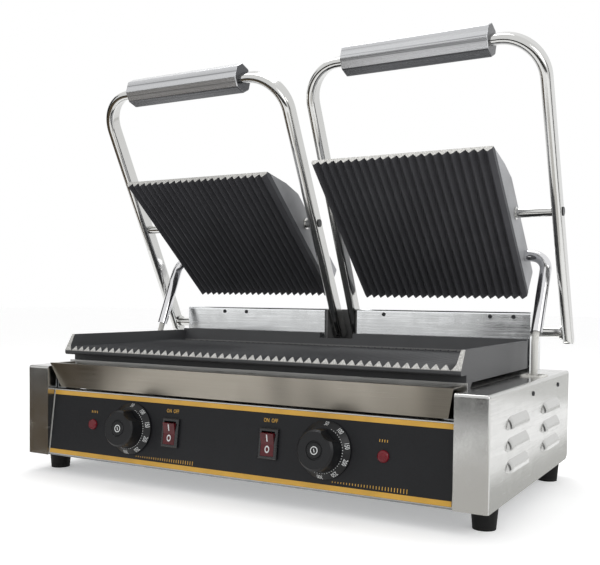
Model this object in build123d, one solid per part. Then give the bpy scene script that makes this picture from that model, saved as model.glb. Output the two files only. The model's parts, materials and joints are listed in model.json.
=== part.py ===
from build123d import *
import os
from math import atan2, cos, hypot, radians, sin, tan

# Twin contact grill. Millimetres, X to the right, Y to the back, Z up, Z = 0 on the table.
# Everything is drawn with Y = 0 at the front faces of the side columns and is moved at the end,
# so that the middle of the whole object's box stands on the origin.

# Body
body_width = 570.0
body_depth = 322.0
body_height = 106.0
foot_height = 22.0
sheet = 1.2
bend = 3.0
column_width = 33.0
column_return = 38.0
deck_return = 12.0
rear_corner_radius = 14.0
rear_flange = 15.0
pan_flange = 17.0
pan_upstand = 25.0
seat_gap = 0.3

# Feet
foot_top_diameter = 26.0
foot_bottom_diameter = 22.0
foot_inset = 15.0
foot_setback = 38.0
foot_screw_diameter = 5.0
foot_screw_depth = 12.0
foot_screw_head = 9.0
foot_screw_head_height = 3.0

# Louvres in the side pans
louvre_front = 54.0
louvre_length = 77.0
louvre_group_step = 135.0
louvre_height = 11.5
louvre_stand_out = 4.5
louvre_row_step = 20.5
louvre_rows = 3
louvre_lowest = 50.0

# Front panel, leaning back between the columns
panel_bottom_y = 2.0
panel_top_y = 12.0
panel_top_z = 100.4
panel_return = 14.0
panel_bend = 1.6
overlay_thickness = 0.5
overlay_margin = 1.5
stripe_width = 5.0
stripe_thickness = 0.2
stripe_margin = 0.2

# Controls, placed on the panel
control_height = 63.0
left_knob_x = -128.0
right_knob_x = 119.0
left_switch_x = -72.0
right_switch_x = 54.0
left_lamp_x = -186.0
right_lamp_x = 181.0
knob_skirt_diameter = 57.0
knob_cap_diameter = 42.0
knob_height = 23.0
knob_skirt_height = 7.0
knob_gap = 0.8
knob_hub_diameter = 16.0
knob_rim_height = 1.5
knob_rim_step = 1.5
knob_cap_draft = 1.0
knob_cap_chamfer = 3.0
knob_cap_bevel = 2.0
knob_groove_width = 1.5
knob_groove_depth = 1.0
knob_groove_draft = 0.7
knob_notch_angle = 52.0
knob_notch_radius = 13.0
knob_notch_bite = 5.0
knob_front_wall = 6.0
spindle_diameter = 6.0
spindle_flat = 1.5
running_clearance = 0.05
fixed_clearance = 0.1
thermostat_width = 36.0
thermostat_depth = 24.0
thermostat_neck_diameter = 10.0
thermostat_neck_length = 5.0
thermostat_corner = 3.0
thermostat_bearing = 14.4
capillary_boss = 8.0
capillary_boss_height = 4.0
lamp_diameter = 12.0
lamp_barrel_diameter = 9.8
lamp_barrel_length = 20.0
lamp_height = 3.0
lamp_round = 2.4
bezel_width = 22.0
bezel_length = 31.0
bezel_height = 3.5
switch_depth = 22.0
rocker_width = 15.4
rocker_length = 23.2
rocker_throw = 16.0
rocker_crest = 3.2
rocker_valley = 1.4
rocker_pivot_depth = 4.0
rocker_pin_diameter = 2.5
rocker_pin_length = 1.0
rocker_side_gap = 0.3
rocker_end_gap = 1.2
rocker_rest_depth = 1.5
rocker_tail = 5.0
rocker_tail_half = 3.0
rocker_well_depth = 14.0
switch_wall = 0.6
switch_end_wall = 1.0
switch_tab_spread = 7.0
bezel_chamfer = 1.0
tab_width = 6.3
tab_thickness = 0.8
tab_length = 8.0

# Grease tray, a shallow drawer whose face leans out at the top
tray_sheet = 1.0
tray_gap = 1.5
tray_face_top_y = 2.0
tray_lip_z = 132.0
tray_depth = 110.0
tray_wall_height = 20.0
tray_inset = 8.0
tray_hem = 5.0
rail_width = 13.6
rail_leg = 24.0
deck_front_y = 36.0
deck_upstand = 6.0

# Lower grill plate, cast iron
plate_side_gap = 2.5
plate_front_y = 25.0
plate_rear_y = 262.0
plate_clearance = 10.0
plate_thickness = 8.0
rib_height = 5.0
rib_pitch = 9.75
rib_base = 9.2
rib_tip = 0.9
wall_height = 19.0
rear_wall_height = 21.0
wall_top_thickness = 4.0
wall_draft = 1.5
wall_foot_width = 3.7
wall_foot_height = 2.4
wall_foot_mid_height = 6.0
gutter_width = 4.0
gutter_end = 3.0
floor_step = 0.5
lip_round = 2.5
rear_foot_inset = 19.5
rear_foot_length = 30.0
wall_skirt = 6.0
skirt_gap = 5.0
lip_thickness = 5.0
riser_y = 41.0
front_slope_y = 36.5
leg_notch_half = 24.0
leg_notch_depth = 7.0

# Heating elements
heater_diameter = 7.0
heater_gap = 0.2
heater_bend = 9.8
heater_near_x = 70.0
heater_far_inset = 49.5
heater_front_y = 62.0
heater_rear_y = 228.0
heater_loop_short = 30.0
heater_leg = 16.0
heater_hole_margin = 2.0
shield_sheet = 1.0
shield_drop = 8.0
shield_inset = 26.0
shield_rear_y = 250.0
shield_front_gap = 8.0
clamp_thickness = 2.0
clamp_width = 18.0
clamp_rows = [90.0, 165.0]
clamp_overhang = 20.0
stud_overhang = 12.0
stud_diameter = 5.0

# Hinge line
hinge_y = 292.0
hinge_z = 175.0
hinge_shaft_diameter = 12.0
cover_front_y = 270.0
cover_top_z = 198.5
cover_inner_x = 24.0
cover_inset = 35.0
cheek_thickness = 3.0
cheek_front_y = 273.0
cheek_rear_y = 314.0
bearing_thickness = 5.0
bearing_inset = 14.0
bearing_half_depth = 15.0
spring_wire = 3.0
spring_turns = 7
spring_pitch = 3.6
spring_play = 0.5
spring_x = 70.0
spring_arm = 12.0
bearing_foot = 22.0
bearing_foot_thickness = 3.0
shaft_hole_margin = 3.0
bracket_drop = 1.0

# Lids: bow of flat-oval tube
leg_inner_x = 13.5
leg_outside = 3.6
tube_across = 11.0
tube_deep = 22.0
tube_wall = 1.5
bow_height = 341.0
bow_corner_radius = 45.0
leg_tail = 14.0
grip_length = 170.0
grip_across = 33.0
grip_corner = 10.0
grip_edge_round = 3.0
right_open_angle = 64.7
left_open_angle = 62.2
plug_diameter = 10.0
plug_head = 1.2
plug_stem_diameter = 8.0
grip_end_round = 1.5
leg_cap = 3.0
shaft_collar_length = 2.5
shaft_collar_step = 3.0

# Upper plates, in the closed position seen from their pivot
pivot_arm = 150.0
cross_shaft_diameter = 10.5
upper_side_gap = 26.6
upper_length = 214.0
upper_inner_x = 27.4
pivot_height = 29.0
pivot_from_front = 106.5
upper_plate_height = 12.0
upper_nose = 8.5
slope_knee_s = 39.0
slope_knee_t = 31.0
cover_crest_s = 68.0
cover_crest_t = 43.0
cover_wall = 2.0
recess_margin = 14.0
recess_front = 30.0
recess_depth = 2.0
cover_rear_set = 1.0
cover_rear_lean = 3.0
cover_round = 2.5
upper_heater_inset = 30.0
upper_heater_front = 48.0
upper_heater_loop_short = 24.0
upper_heater_leg = 14.0
upper_heater_bend = 7.7
right_plate_tilt = 45.2
left_plate_tilt = 40.3
bush_outer_diameter = 13.0
bush_flange_diameter = 14.5
bush_flange = 1.5
bush_length = 9.0

# Cable conduits from the upper plates into the body
conduit_diameter = 13.5
conduit_bore = 11.0
ferrule_length = 5.0
conduit_inset = 17.0
conduit_behind = 64.5
conduit_end_behind = 93.7
conduit_end_below = 96.7
conduit_bend = 20.0
conduit_tail = 6.0
lead_overlap = 10.0
lead_least = 4.0
lead_diameter = 7.5
lead_y = 220.0
lead_foot_z = 66.0
clip_height = 10.0
clip_length = 18.0
lead_bend = 12.0
slot_length = 25.0
slot_width = 17.0
slot_corner = 0.5
slot_centre_y = 219.5
bushing_wall = 1.0
bushing_flange = 3.0
bushing_flange_height = 1.5

# Rear panel and mains inlet
gland_inset = 95.0
gland_z = 66.0
gland_bore = 9.0
gland_diameter = 16.0
gland_hex = 24.0
gland_reach = 12.0
gland_hex_length = 6.6
gland_dome_diameter = 19.8
gland_dome_round = 2.0
gland_neck = 8.0
gland_nut = 4.0
first_vent_x = 60.0
vent_drop = 40.0
vent_width = 3.5
vent_length = 34.0
vent_step = 11.0
vents_per_group = 9
terminal_length = 64.0
terminal_depth = 24.0
terminal_height = 18.0
terminal_ways = 5
terminal_floor = 6.0
terminal_pocket = 8.0
terminal_pocket_half = 4.6
terminal_setback = 60.0
small_screw_diameter = 2.5
small_screw_head = 5.0
small_screw_head_height = 1.2
small_screw_length = 6.0
small_screw_slot = 3.0
small_screw_slot_width = 0.7
small_screw_slot_depth = 0.5
right_cover_screw_insets = [20.0, 48.5, 188.0]
left_cover_screw_insets = [64.0, 101.0]
cover_screw_drop = 6.0
side_screw_spots = [(150.0, 116.0), (262.0, 116.0)]
rear_screw_inset = 50.0

# Worked out from the sizes above
half = body_width / 2
column_inner = half - column_width
plate_half_width = column_inner - plate_side_gap
heater_far_x = plate_half_width - heater_far_inset
cover_outer_x = half - cover_inset
bearing_x = cover_outer_x - bearing_inset
leg_outer_x = half + leg_outside
conduit_x = half - conduit_inset
upper_width = conduit_x - upper_side_gap - upper_inner_x
gland_x = half - gland_inset
rear_screw_spots = [rear_screw_inset - half, 0.0, half - rear_screw_inset]
right_cover_screws = [cover_outer_x - inset for inset in right_cover_screw_insets]
left_cover_screws = [cover_outer_x - inset for inset in left_cover_screw_insets]
rib_room = plate_half_width - wall_top_thickness - wall_foot_width - 1 - rib_base / 2
rib_count = 2 * int(rib_room / rib_pitch) + 1
upper_rib_count = int((upper_width - rib_base) / rib_pitch) + 1
deck_z = foot_height + body_height
shell_inside = half - sheet
inner_rear = body_depth - sheet
pan_top = foot_height + sheet
panel_bottom_z = pan_top
panel_lean = atan2(panel_top_y - panel_bottom_y, panel_top_z - panel_bottom_z)
panel_height = hypot(panel_top_y - panel_bottom_y, panel_top_z - panel_bottom_z)
control_y = panel_bottom_y + (control_height - panel_bottom_z) * tan(panel_lean)
valley_z = deck_z + plate_clearance + plate_thickness
rib_top_z = valley_z + rib_height
slab_under = deck_z + plate_clearance
wall_top_z = valley_z + wall_height
rear_wall_top_z = valley_z + rear_wall_height
tray_floor_z = panel_top_z + 2 * sheet
conduit_wall = (conduit_diameter - conduit_bore) / 2
heater_z = slab_under - heater_gap - heater_diameter / 2
frame_centre_x = (leg_inner_x + leg_outer_x) / 2
upper_outer_x = upper_inner_x + upper_width
knob_front = knob_gap + overlay_thickness + knob_height
front_reach = knob_front * cos(panel_lean) - control_y
front_reach += (knob_cap_diameter / 2 - knob_cap_chamfer) * sin(panel_lean)
front_y = (front_reach - gland_reach - body_depth) / 2
rocker_well_length = rocker_length + 2 * rocker_end_gap
switch_body_width = rocker_width + 2 * (rocker_pin_length + rocker_side_gap + switch_wall)
switch_body_length = rocker_well_length + 2 * switch_end_wall
rocker_pivot_z = overlay_thickness + bezel_height - rocker_rest_depth - rocker_pivot_depth
spindle_tip = overlay_thickness + knob_gap + knob_height - knob_front_wall
heater_ends = [(heater_near_x, heater_rear_y), (heater_far_x, heater_rear_y)]
foil_low = -(control_height - panel_bottom_z) / cos(panel_lean) + overlay_margin
foil_high = foil_low + panel_height - 2 * overlay_margin
foil_width = 2 * (column_inner - overlay_margin)

panel_plane = Plane(
    origin=(0, control_y, control_height),
    x_dir=(1, 0, 0),
    z_dir=(0, -cos(panel_lean), sin(panel_lean)),
)
low = (Align.CENTER, Align.CENTER, Align.MIN)
high = (Align.CENTER, Align.CENTER, Align.MAX)


def block(x0, x1, y0, y1, z0, z1):
    """Box between two opposite corners."""
    middle = Pos((x0 + x1) / 2, (y0 + y1) / 2, (z0 + z1) / 2)
    return middle * Box(abs(x1 - x0), abs(y1 - y0), abs(z1 - z0))


def prism(points, x0, x1):
    """Side profile in Y and Z, drawn out along X."""
    face = Plane.YZ.offset(x0) * make_face(Polyline(*points, close=True))
    return extrude(face, x1 - x0, dir=(1, 0, 0))


def section(points, y0, y1):
    """Cross-section in X and Z, drawn out along Y."""
    flat = make_face(Polyline(*[(x, 0, z) for x, z in points], close=True))
    return extrude(Pos(0, y0, 0) * flat, y1 - y0, dir=(0, 1, 0))


def rod(start, end, diameter):
    """Round bar between two points."""
    path = Vector(*end) - Vector(*start)
    return Plane(origin=start, z_dir=path) * Cylinder(diameter / 2, path.length, align=low)


def bar(x0, x1, y, z, diameter):
    """Round bar along X."""
    return rod((x0, y, z), (x1, y, z), diameter)


def pipe(points, radius, diameter):
    """Round bar along straight runs joined by arcs."""
    path = FilletPolyline(*points, radius=radius)
    return sweep(Plane(origin=path @ 0, z_dir=path % 0) * Circle(diameter / 2), path=path)


def strip_points(points, thickness):
    """Points of a line moved sideways by a thickness, to the right of its direction."""
    moved = []
    count = len(points)
    for index, point in enumerate(points):
        sides = []
        for first, second in ((index - 1, index), (index, index + 1)):
            if first >= 0 and second < count:
                run_y = points[second][0] - points[first][0]
                run_z = points[second][1] - points[first][1]
                length = hypot(run_y, run_z)
                sides.append((run_z / length, -run_y / length))
        if len(sides) == 1:
            moved.append((point[0] + sides[0][0] * thickness, point[1] + sides[0][1] * thickness))
        else:
            sum_y = sides[0][0] + sides[1][0]
            sum_z = sides[0][1] + sides[1][1]
            scale = 2 * thickness / (sum_y * sum_y + sum_z * sum_z)
            moved.append((point[0] + sum_y * scale, point[1] + sum_z * scale))
    return moved


def folded(points, thickness, radius, x0, x1):
    """Folded sheet: outer line in Y and Z, metal to the right of it, rounded at the folds."""
    inner = strip_points(points, thickness)
    face = make_face(Polyline(*points, *reversed(inner), close=True))
    plate = Plane.YZ.offset(x0) * face
    if radius > 0:
        count = len(points)
        for index in range(1, count - 1):
            before, point, after = points[index - 1], points[index], points[index + 1]
            turn = (point[0] - before[0]) * (after[1] - point[1])
            turn -= (point[1] - before[1]) * (after[0] - point[0])
            small = max(radius - thickness, 0.2)
            outside, inside = (radius, small) if turn < 0 else (small, radius)
            plate = round_corner(plate, point, outside)
            plate = round_corner(plate, inner[index], inside)
    return extrude(plate, x1 - x0, dir=(1, 0, 0))


def round_corner(face, point, radius):
    """Round the corner of a flat Y-Z face that lies nearest to a point."""
    def distance(vertex):
        return hypot(vertex.Y - point[0], vertex.Z - point[1])
    corner = face.vertices().sort_by(distance)[0]
    return fillet(corner, radius)


def edge_near(shape, axis, key):
    """The edge along an axis that comes out highest by a key."""
    return shape.edges().filter_by(axis).sort_by(key)[-1]


def mirrored(shape):
    """The same thing on the other side of the middle."""
    return mirror(shape, about=Plane.YZ)


def both(shape):
    """One piece on each side of the middle."""
    return Compound([*shape.solids(), *mirrored(shape).solids()])


def group(shapes):
    """Separate solids kept together."""
    return Compound([solid for shape in shapes for solid in shape.solids()])


def pan_head_screw(x, y, z, direction):
    """Small round-headed screw: its head's seat is at the point, its head points along direction."""
    place = Plane(origin=(x, y, z), z_dir=direction)
    head = Cylinder(small_screw_head / 2, small_screw_head_height, align=low)
    head = fillet(head.edges().sort_by(Axis.Z)[-1], small_screw_head_height * 0.6)
    shank = Cylinder(small_screw_diameter / 2, small_screw_length, align=high)
    slot = Pos(0, 0, small_screw_head_height) * Box(
        small_screw_slot, small_screw_slot_width, 2 * small_screw_slot_depth)
    slot += Rot(0, 0, 90) * slot
    return place * (head + shank - slot)


def screw_hole(x, y, z, direction):
    """Clearance hole for the screw above."""
    place = Plane(origin=(x, y, z), z_dir=direction)
    return place * Cylinder(small_screw_diameter / 2 + fixed_clearance, 4 * small_screw_length)


def louvre(y0, z0):
    """Hood pressed out of the side sheet, rounded at its ends, and the hollow under it."""
    radius = (louvre_height ** 2 + louvre_stand_out ** 2) / (2 * louvre_stand_out)
    near, far = y0 + louvre_height, y0 + louvre_length - louvre_height
    axis_x = half + louvre_stand_out - radius

    def dome(inset, back, bottom):
        long_body = Pos(axis_x, (near + far) / 2, z0) * Rot(90, 0, 0) * Cylinder(radius - inset, far - near)
        long_body += Pos(axis_x, near, z0) * Sphere(radius - inset)
        long_body += Pos(axis_x, far, z0) * Sphere(radius - inset)
        return long_body & block(back, half + radius, y0 - radius, far + 2 * radius, bottom, z0 + radius)
    hood = dome(0.0, half - sheet / 2, z0)
    hollow = dome(sheet, half - 2 * sheet, z0 - 1)
    return hood, hollow


def deck_slot(margin):
    """Outline of the slot that a conduit plunges through, with a margin all round."""
    return RectangleRounded(slot_width + 2 * margin, slot_length + 2 * margin, slot_corner + margin)


def side_pan():
    """Right side of the body: column, top flange and louvred side in one folded sheet."""
    def rounded(inset, x0, z0):
        shape = block(x0, half - inset, inset, body_depth - inset, z0, deck_z - inset)
        edges = [
            edge_near(shape, Axis.Z, lambda e: e.center().X - e.center().Y),
            edge_near(shape, Axis.Z, lambda e: e.center().X + e.center().Y),
            edge_near(shape, Axis.Y, lambda e: e.center().X + e.center().Z),
            edge_near(shape, Axis.X, lambda e: e.center().Z - e.center().Y),
        ]
        return fillet(edges, bend - inset)
    pan = rounded(0.0, column_inner, foot_height)
    pan -= rounded(sheet, column_inner + sheet, foot_height - 1)
    pan -= block(column_inner - 1, column_inner + 2 * sheet, column_return, body_depth + 1,
                 foot_height - 1, deck_z - deck_return)
    pan -= block(column_inner - 1, half - rear_flange, inner_rear, body_depth + 1,
                 foot_height - 1, deck_z + 1)
    pan -= block(column_inner - 1, shell_inside - sheet, 2 * sheet, body_depth,
                 foot_height - 1, pan_top)
    corner = prism([
        (body_depth - rear_corner_radius, foot_height - 1),
        (body_depth + 1, foot_height - 1),
        (body_depth + 1, foot_height + rear_corner_radius),
        (body_depth - rear_corner_radius, foot_height + rear_corner_radius),
    ], column_inner - 1, half + 1)
    corner -= bar(column_inner - 2, half + 2, body_depth - rear_corner_radius,
                  foot_height + rear_corner_radius, 2 * rear_corner_radius)
    pan -= corner
    for group_index in range(2):
        for row in range(louvre_rows):
            y0 = louvre_front + group_index * louvre_group_step
            z0 = louvre_lowest + row * louvre_row_step
            hood, hollow = louvre(y0, z0)
            pan = pan + hood - hollow
    cut = deck_slot(bushing_wall)
    pan -= Pos(conduit_x, slot_centre_y, deck_z - 3 * sheet) * extrude(cut, 6 * sheet)
    for y, z in side_screw_spots:
        pan -= screw_hole(half, y, z, (1, 0, 0))
    return pan


def base_pan():
    """Floor of the body, turned up at the sides and at the back."""
    line = [
        (inner_rear, foot_height + pan_upstand),
        (inner_rear, foot_height),
        (panel_bottom_y + sheet, foot_height),
    ]
    floor = folded(line, sheet, rear_corner_radius - sheet, -shell_inside, shell_inside)
    side = block(shell_inside - sheet, shell_inside, 2 * bend, inner_rear - 2 * rear_corner_radius,
                 foot_height, foot_height + pan_flange)
    floor += side + mirrored(side)
    corner = block(shell_inside - bend, shell_inside + 1, inner_rear - bend, body_depth,
                   foot_height, foot_height + pan_upstand + 1)
    floor -= corner + mirrored(corner)
    for x, y in foot_spots():
        floor -= Pos(x, y, foot_height) * Cylinder(foot_screw_diameter / 2 + fixed_clearance, 4 * sheet)
    return floor


def top_deck():
    """Sheet under the lower plate, turned up at the front and down at the sides and back."""
    top = block(-column_inner, column_inner, deck_front_y, inner_rear, deck_z - sheet, deck_z)
    lap = block(-half + rear_flange, half - rear_flange, inner_rear, body_depth, deck_z - sheet, deck_z)
    top += lap
    top += block(-column_inner, column_inner, deck_front_y, deck_front_y + sheet,
                 deck_z - sheet, deck_z + deck_upstand)
    side = block(column_inner - sheet, column_inner, column_return, inner_rear,
                 deck_z - deck_return, deck_z)
    top += side + mirrored(side)
    top += block(-column_inner, column_inner, inner_rear - sheet, inner_rear,
                 deck_z - deck_return, deck_z)
    for x, y in heater_ends:
        for sign in (-1, 1):
            top -= Pos(sign * x, y, deck_z) * Cylinder(heater_diameter / 2 + heater_hole_margin, 4 * sheet)
    for x in rear_screw_spots:
        top -= screw_hole(x, inner_rear, deck_z - deck_return / 2, (0, 1, 0))
    return top


def rear_panel():
    """Back sheet with its vents and the hole for the cable gland."""
    panel = block(-half + rear_flange, half - rear_flange, inner_rear, body_depth,
                  foot_height + rear_corner_radius + bend, deck_z - sheet)
    for side in (-1, 1):
        for index in range(vents_per_group):
            x = side * (first_vent_x + index * vent_step)
            cut = Pos(x, inner_rear, deck_z - vent_drop) * Rot(90, 0, 0) * extrude(
                SlotOverall(vent_length, vent_width, rotation=90), 2 * sheet, both=True)
            panel -= cut
    panel -= rod((gland_x, inner_rear - 1, gland_z), (gland_x, body_depth + 1, gland_z),
                 gland_diameter + 2 * fixed_clearance)
    for x in rear_screw_spots:
        panel -= screw_hole(x, body_depth, deck_z - deck_return / 2, (0, 1, 0))
    return panel


def on_panel(shape, x=0.0, up=0.0):
    """Put a shape that is drawn flat onto the leaning front panel."""
    return panel_plane * Pos(x, up, 0) * shape


def with_control_holes(shape):
    """Cut the holes for the thermostats, lamps and switches through a layer of the panel."""
    through = 6 * sheet
    for x in (left_knob_x, right_knob_x):
        shape -= on_panel(Cylinder(thermostat_neck_diameter / 2 + fixed_clearance, through), x)
    for x in (left_lamp_x, right_lamp_x):
        shape -= on_panel(Cylinder(lamp_barrel_diameter / 2 + fixed_clearance, through), x)
    for x in (left_switch_x, right_switch_x):
        shape -= on_panel(Box(switch_body_width + 2 * fixed_clearance,
                              switch_body_length + 2 * fixed_clearance, through), x)
    return shape


def front_panel():
    """Leaning sheet that carries the controls."""
    line = [
        (panel_bottom_y + panel_return, panel_bottom_z),
        (panel_bottom_y, panel_bottom_z),
        (panel_top_y, panel_top_z),
        (panel_top_y + panel_return, panel_top_z),
    ]
    return with_control_holes(folded(line, sheet, panel_bend, -column_inner, column_inner))


def panel_overlay():
    """Printed black foil on the panel."""
    foil = Pos(0, (foil_low + foil_high) / 2, 0) * Box(
        foil_width, foil_high - foil_low, overlay_thickness, align=low)
    return with_control_holes(on_panel(foil))


def overlay_stripes():
    """Gold stripes along the foil's long edges."""
    inset = stripe_width / 2 + stripe_margin
    stripes = []
    for middle in (foil_low + inset, foil_high - inset):
        stripe = Pos(0, middle, overlay_thickness) * Box(
            foil_width, stripe_width, stripe_thickness, align=low)
        stripes.append(on_panel(stripe))
    return group(stripes)


def knob(x):
    """Round knob with a sloping dial skirt, a finger notch and a raised hub."""
    base = overlay_thickness + knob_gap
    skirt_radius = knob_skirt_diameter / 2
    cap_radius = knob_cap_diameter / 2
    hub_radius = knob_hub_diameter / 2
    top = base + knob_height
    line = Polyline(
        (0, base),
        (skirt_radius, base),
        (skirt_radius, base + knob_rim_height),
        (cap_radius + knob_rim_step, base + knob_skirt_height),
        (cap_radius, base + knob_skirt_height),
        (cap_radius - knob_cap_draft, top - knob_cap_bevel),
        (cap_radius - knob_cap_chamfer, top),
        (hub_radius + knob_groove_width, top),
        (hub_radius + knob_groove_width - knob_groove_draft, top - knob_groove_depth),
        (hub_radius, top - knob_groove_depth),
        (hub_radius - knob_groove_draft, top),
        (0, top),
        close=True,
    )
    profile = Plane.XZ * make_face(line)
    turned = revolve(profile, axis=Axis.Z)
    angle = radians(knob_notch_angle)
    reach = cap_radius + knob_notch_radius - knob_notch_bite
    turned -= Pos(reach * cos(angle), reach * sin(angle), base + knob_skirt_height) * Cylinder(
        knob_notch_radius, knob_height, align=low)
    bore_depth = spindle_tip - base
    turned -= Pos(0, 0, base) * Cylinder(spindle_diameter / 2 + fixed_clearance, bore_depth, align=low)
    return on_panel(turned, x)


def knob_spindle(x):
    """Shaft of the thermostat with its flat, which the knob is pushed on."""
    foot = -(sheet + thermostat_bearing)
    shaft = Pos(0, 0, foot) * Cylinder(spindle_diameter / 2, spindle_tip - foot, align=low)
    flat = Pos(0, spindle_diameter - spindle_flat, spindle_tip) * Box(
        spindle_diameter, spindle_diameter, 2 * (spindle_tip - thermostat_neck_length))
    return on_panel(shaft - flat, x)


def thermostat(x):
    """Capillary thermostat behind the panel, with the neck that holds it."""
    under = -sheet
    case = Pos(0, 0, under) * Box(thermostat_width, thermostat_width, thermostat_depth, align=high)
    case = fillet(case.edges().filter_by(Axis.Z), thermostat_corner)
    neck = Pos(0, 0, under) * Cylinder(thermostat_neck_diameter / 2,
                                       sheet + overlay_thickness, align=low)
    spot = thermostat_width / 4
    boss = Pos(-spot, -spot, under - thermostat_depth) * Cylinder(
        capillary_boss / 2, capillary_boss_height, align=high)
    tab = Pos(spot, spot, under - thermostat_depth) * Box(tab_width, tab_thickness, tab_length, align=high)
    bore = Pos(0, 0, under + 2 * thermostat_neck_length) * Cylinder(
        spindle_diameter / 2 + running_clearance,
        2 * thermostat_neck_length + thermostat_bearing, align=high)
    return on_panel(case + neck + boss + tab + mirrored(tab) - bore, x)


def lamp_lens(x):
    """Red indicator lamp: domed lens on a barrel through the panel."""
    lens = Pos(0, 0, overlay_thickness) * Cylinder(lamp_diameter / 2, lamp_height, align=low)
    lens = fillet(lens.edges().sort_by(Axis.Z)[-1], lamp_round)
    barrel = Pos(0, 0, overlay_thickness) * Cylinder(
        lamp_barrel_diameter / 2, lamp_barrel_length, align=high)
    return on_panel(lens + barrel, x)


def switch_housing(x):
    """Frame and case of a rocker switch."""
    face = overlay_thickness
    bezel = Pos(0, 0, face) * Box(bezel_width, bezel_length, bezel_height, align=low)
    bezel = chamfer(bezel.faces().sort_by(Axis.Z)[-1].edges(), bezel_chamfer)
    case = Pos(0, 0, face) * Box(switch_body_width, switch_body_length, switch_depth, align=high)
    well = Pos(0, 0, face + bezel_height) * Box(
        rocker_width + 2 * rocker_side_gap, rocker_well_length,
        bezel_height + rocker_well_depth, align=high)
    pins = Pos(0, 0, rocker_pivot_z) * Rot(0, 90, 0) * Cylinder(
        rocker_pin_diameter / 2 + running_clearance,
        rocker_width + 2 * rocker_pin_length + 2 * rocker_side_gap)
    housing = bezel + case - well - pins
    for up in (-switch_tab_spread, switch_tab_spread):
        housing += Pos(0, up, face - switch_depth) * Box(tab_width, tab_thickness, tab_length, align=high)
    return on_panel(housing, x)


def rocker(x):
    """Rocker with its lower half pressed in, on two short pins."""
    length = rocker_length / 2
    profile = [
        (-length, rocker_crest), (0, rocker_valley), (length, rocker_crest),
        (length, -rocker_pivot_depth + 1), (rocker_tail_half, -rocker_pivot_depth - rocker_tail),
        (-rocker_tail_half, -rocker_pivot_depth - rocker_tail), (-length, -rocker_pivot_depth + 1),
    ]
    lift = overlay_thickness + bezel_height - rocker_rest_depth
    body = prism([(up, out + lift) for up, out in profile], -rocker_width / 2, rocker_width / 2)
    pin = bar(-rocker_width / 2 - rocker_pin_length, rocker_width / 2 + rocker_pin_length,
              0, rocker_pivot_z, rocker_pin_diameter)
    turned = Pos(0, 0, rocker_pivot_z) * Rot(rocker_throw / 2, 0, 0) * Pos(0, 0, -rocker_pivot_z)
    return on_panel(turned * (body + pin), x)


def grease_tray():
    """Drawer with a leaning face and a hem to pull it by."""
    lip_half = column_inner - tray_gap
    inside = lip_half - tray_inset
    face_bottom_y = panel_top_y
    face = folded([
        (tray_depth, tray_floor_z + tray_wall_height),
        (tray_depth, tray_floor_z),
        (face_bottom_y, tray_floor_z),
        (tray_face_top_y, tray_lip_z),
        (tray_face_top_y + tray_hem, tray_lip_z),
    ], tray_sheet, 0, -lip_half, lip_half)
    taper = section([
        (inside, tray_floor_z - tray_sheet), (lip_half + 1, tray_floor_z - tray_sheet),
        (lip_half + 1, tray_lip_z), (lip_half, tray_lip_z), (inside, tray_floor_z),
    ], -1, face_bottom_y + tray_hem)
    straight = block(inside, lip_half + 1, face_bottom_y, tray_depth + 2,
                     tray_floor_z - tray_sheet, tray_lip_z + 2)
    face = face - taper - mirrored(taper) - straight - mirrored(straight)
    end = prism([
        (face_bottom_y, tray_floor_z),
        (tray_face_top_y + tray_sheet, tray_lip_z - tray_sheet),
        (deck_front_y - 2, tray_lip_z - tray_sheet),
        (deck_front_y - 2, tray_floor_z + tray_wall_height),
        (tray_depth, tray_floor_z + tray_wall_height),
        (tray_depth, tray_floor_z),
    ], inside - tray_sheet, inside)
    hem = block(inside - tray_sheet, lip_half - 1, tray_face_top_y + tray_sheet, deck_front_y - 2,
                tray_lip_z - tray_sheet, tray_lip_z)
    side = end + hem
    return face + side + mirrored(side)


def tray_rails():
    """Angles under the deck that the tray slides on."""
    top = column_inner - sheet
    shelf_top = tray_floor_z - seat_gap
    rail = block(top - sheet, top, panel_top_y + 3, tray_depth + 3, shelf_top - sheet, shelf_top + rail_leg)
    rail += block(top - rail_width, top, panel_top_y + 3, tray_depth + 3, shelf_top - sheet, shelf_top)
    return both(rail)


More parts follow.
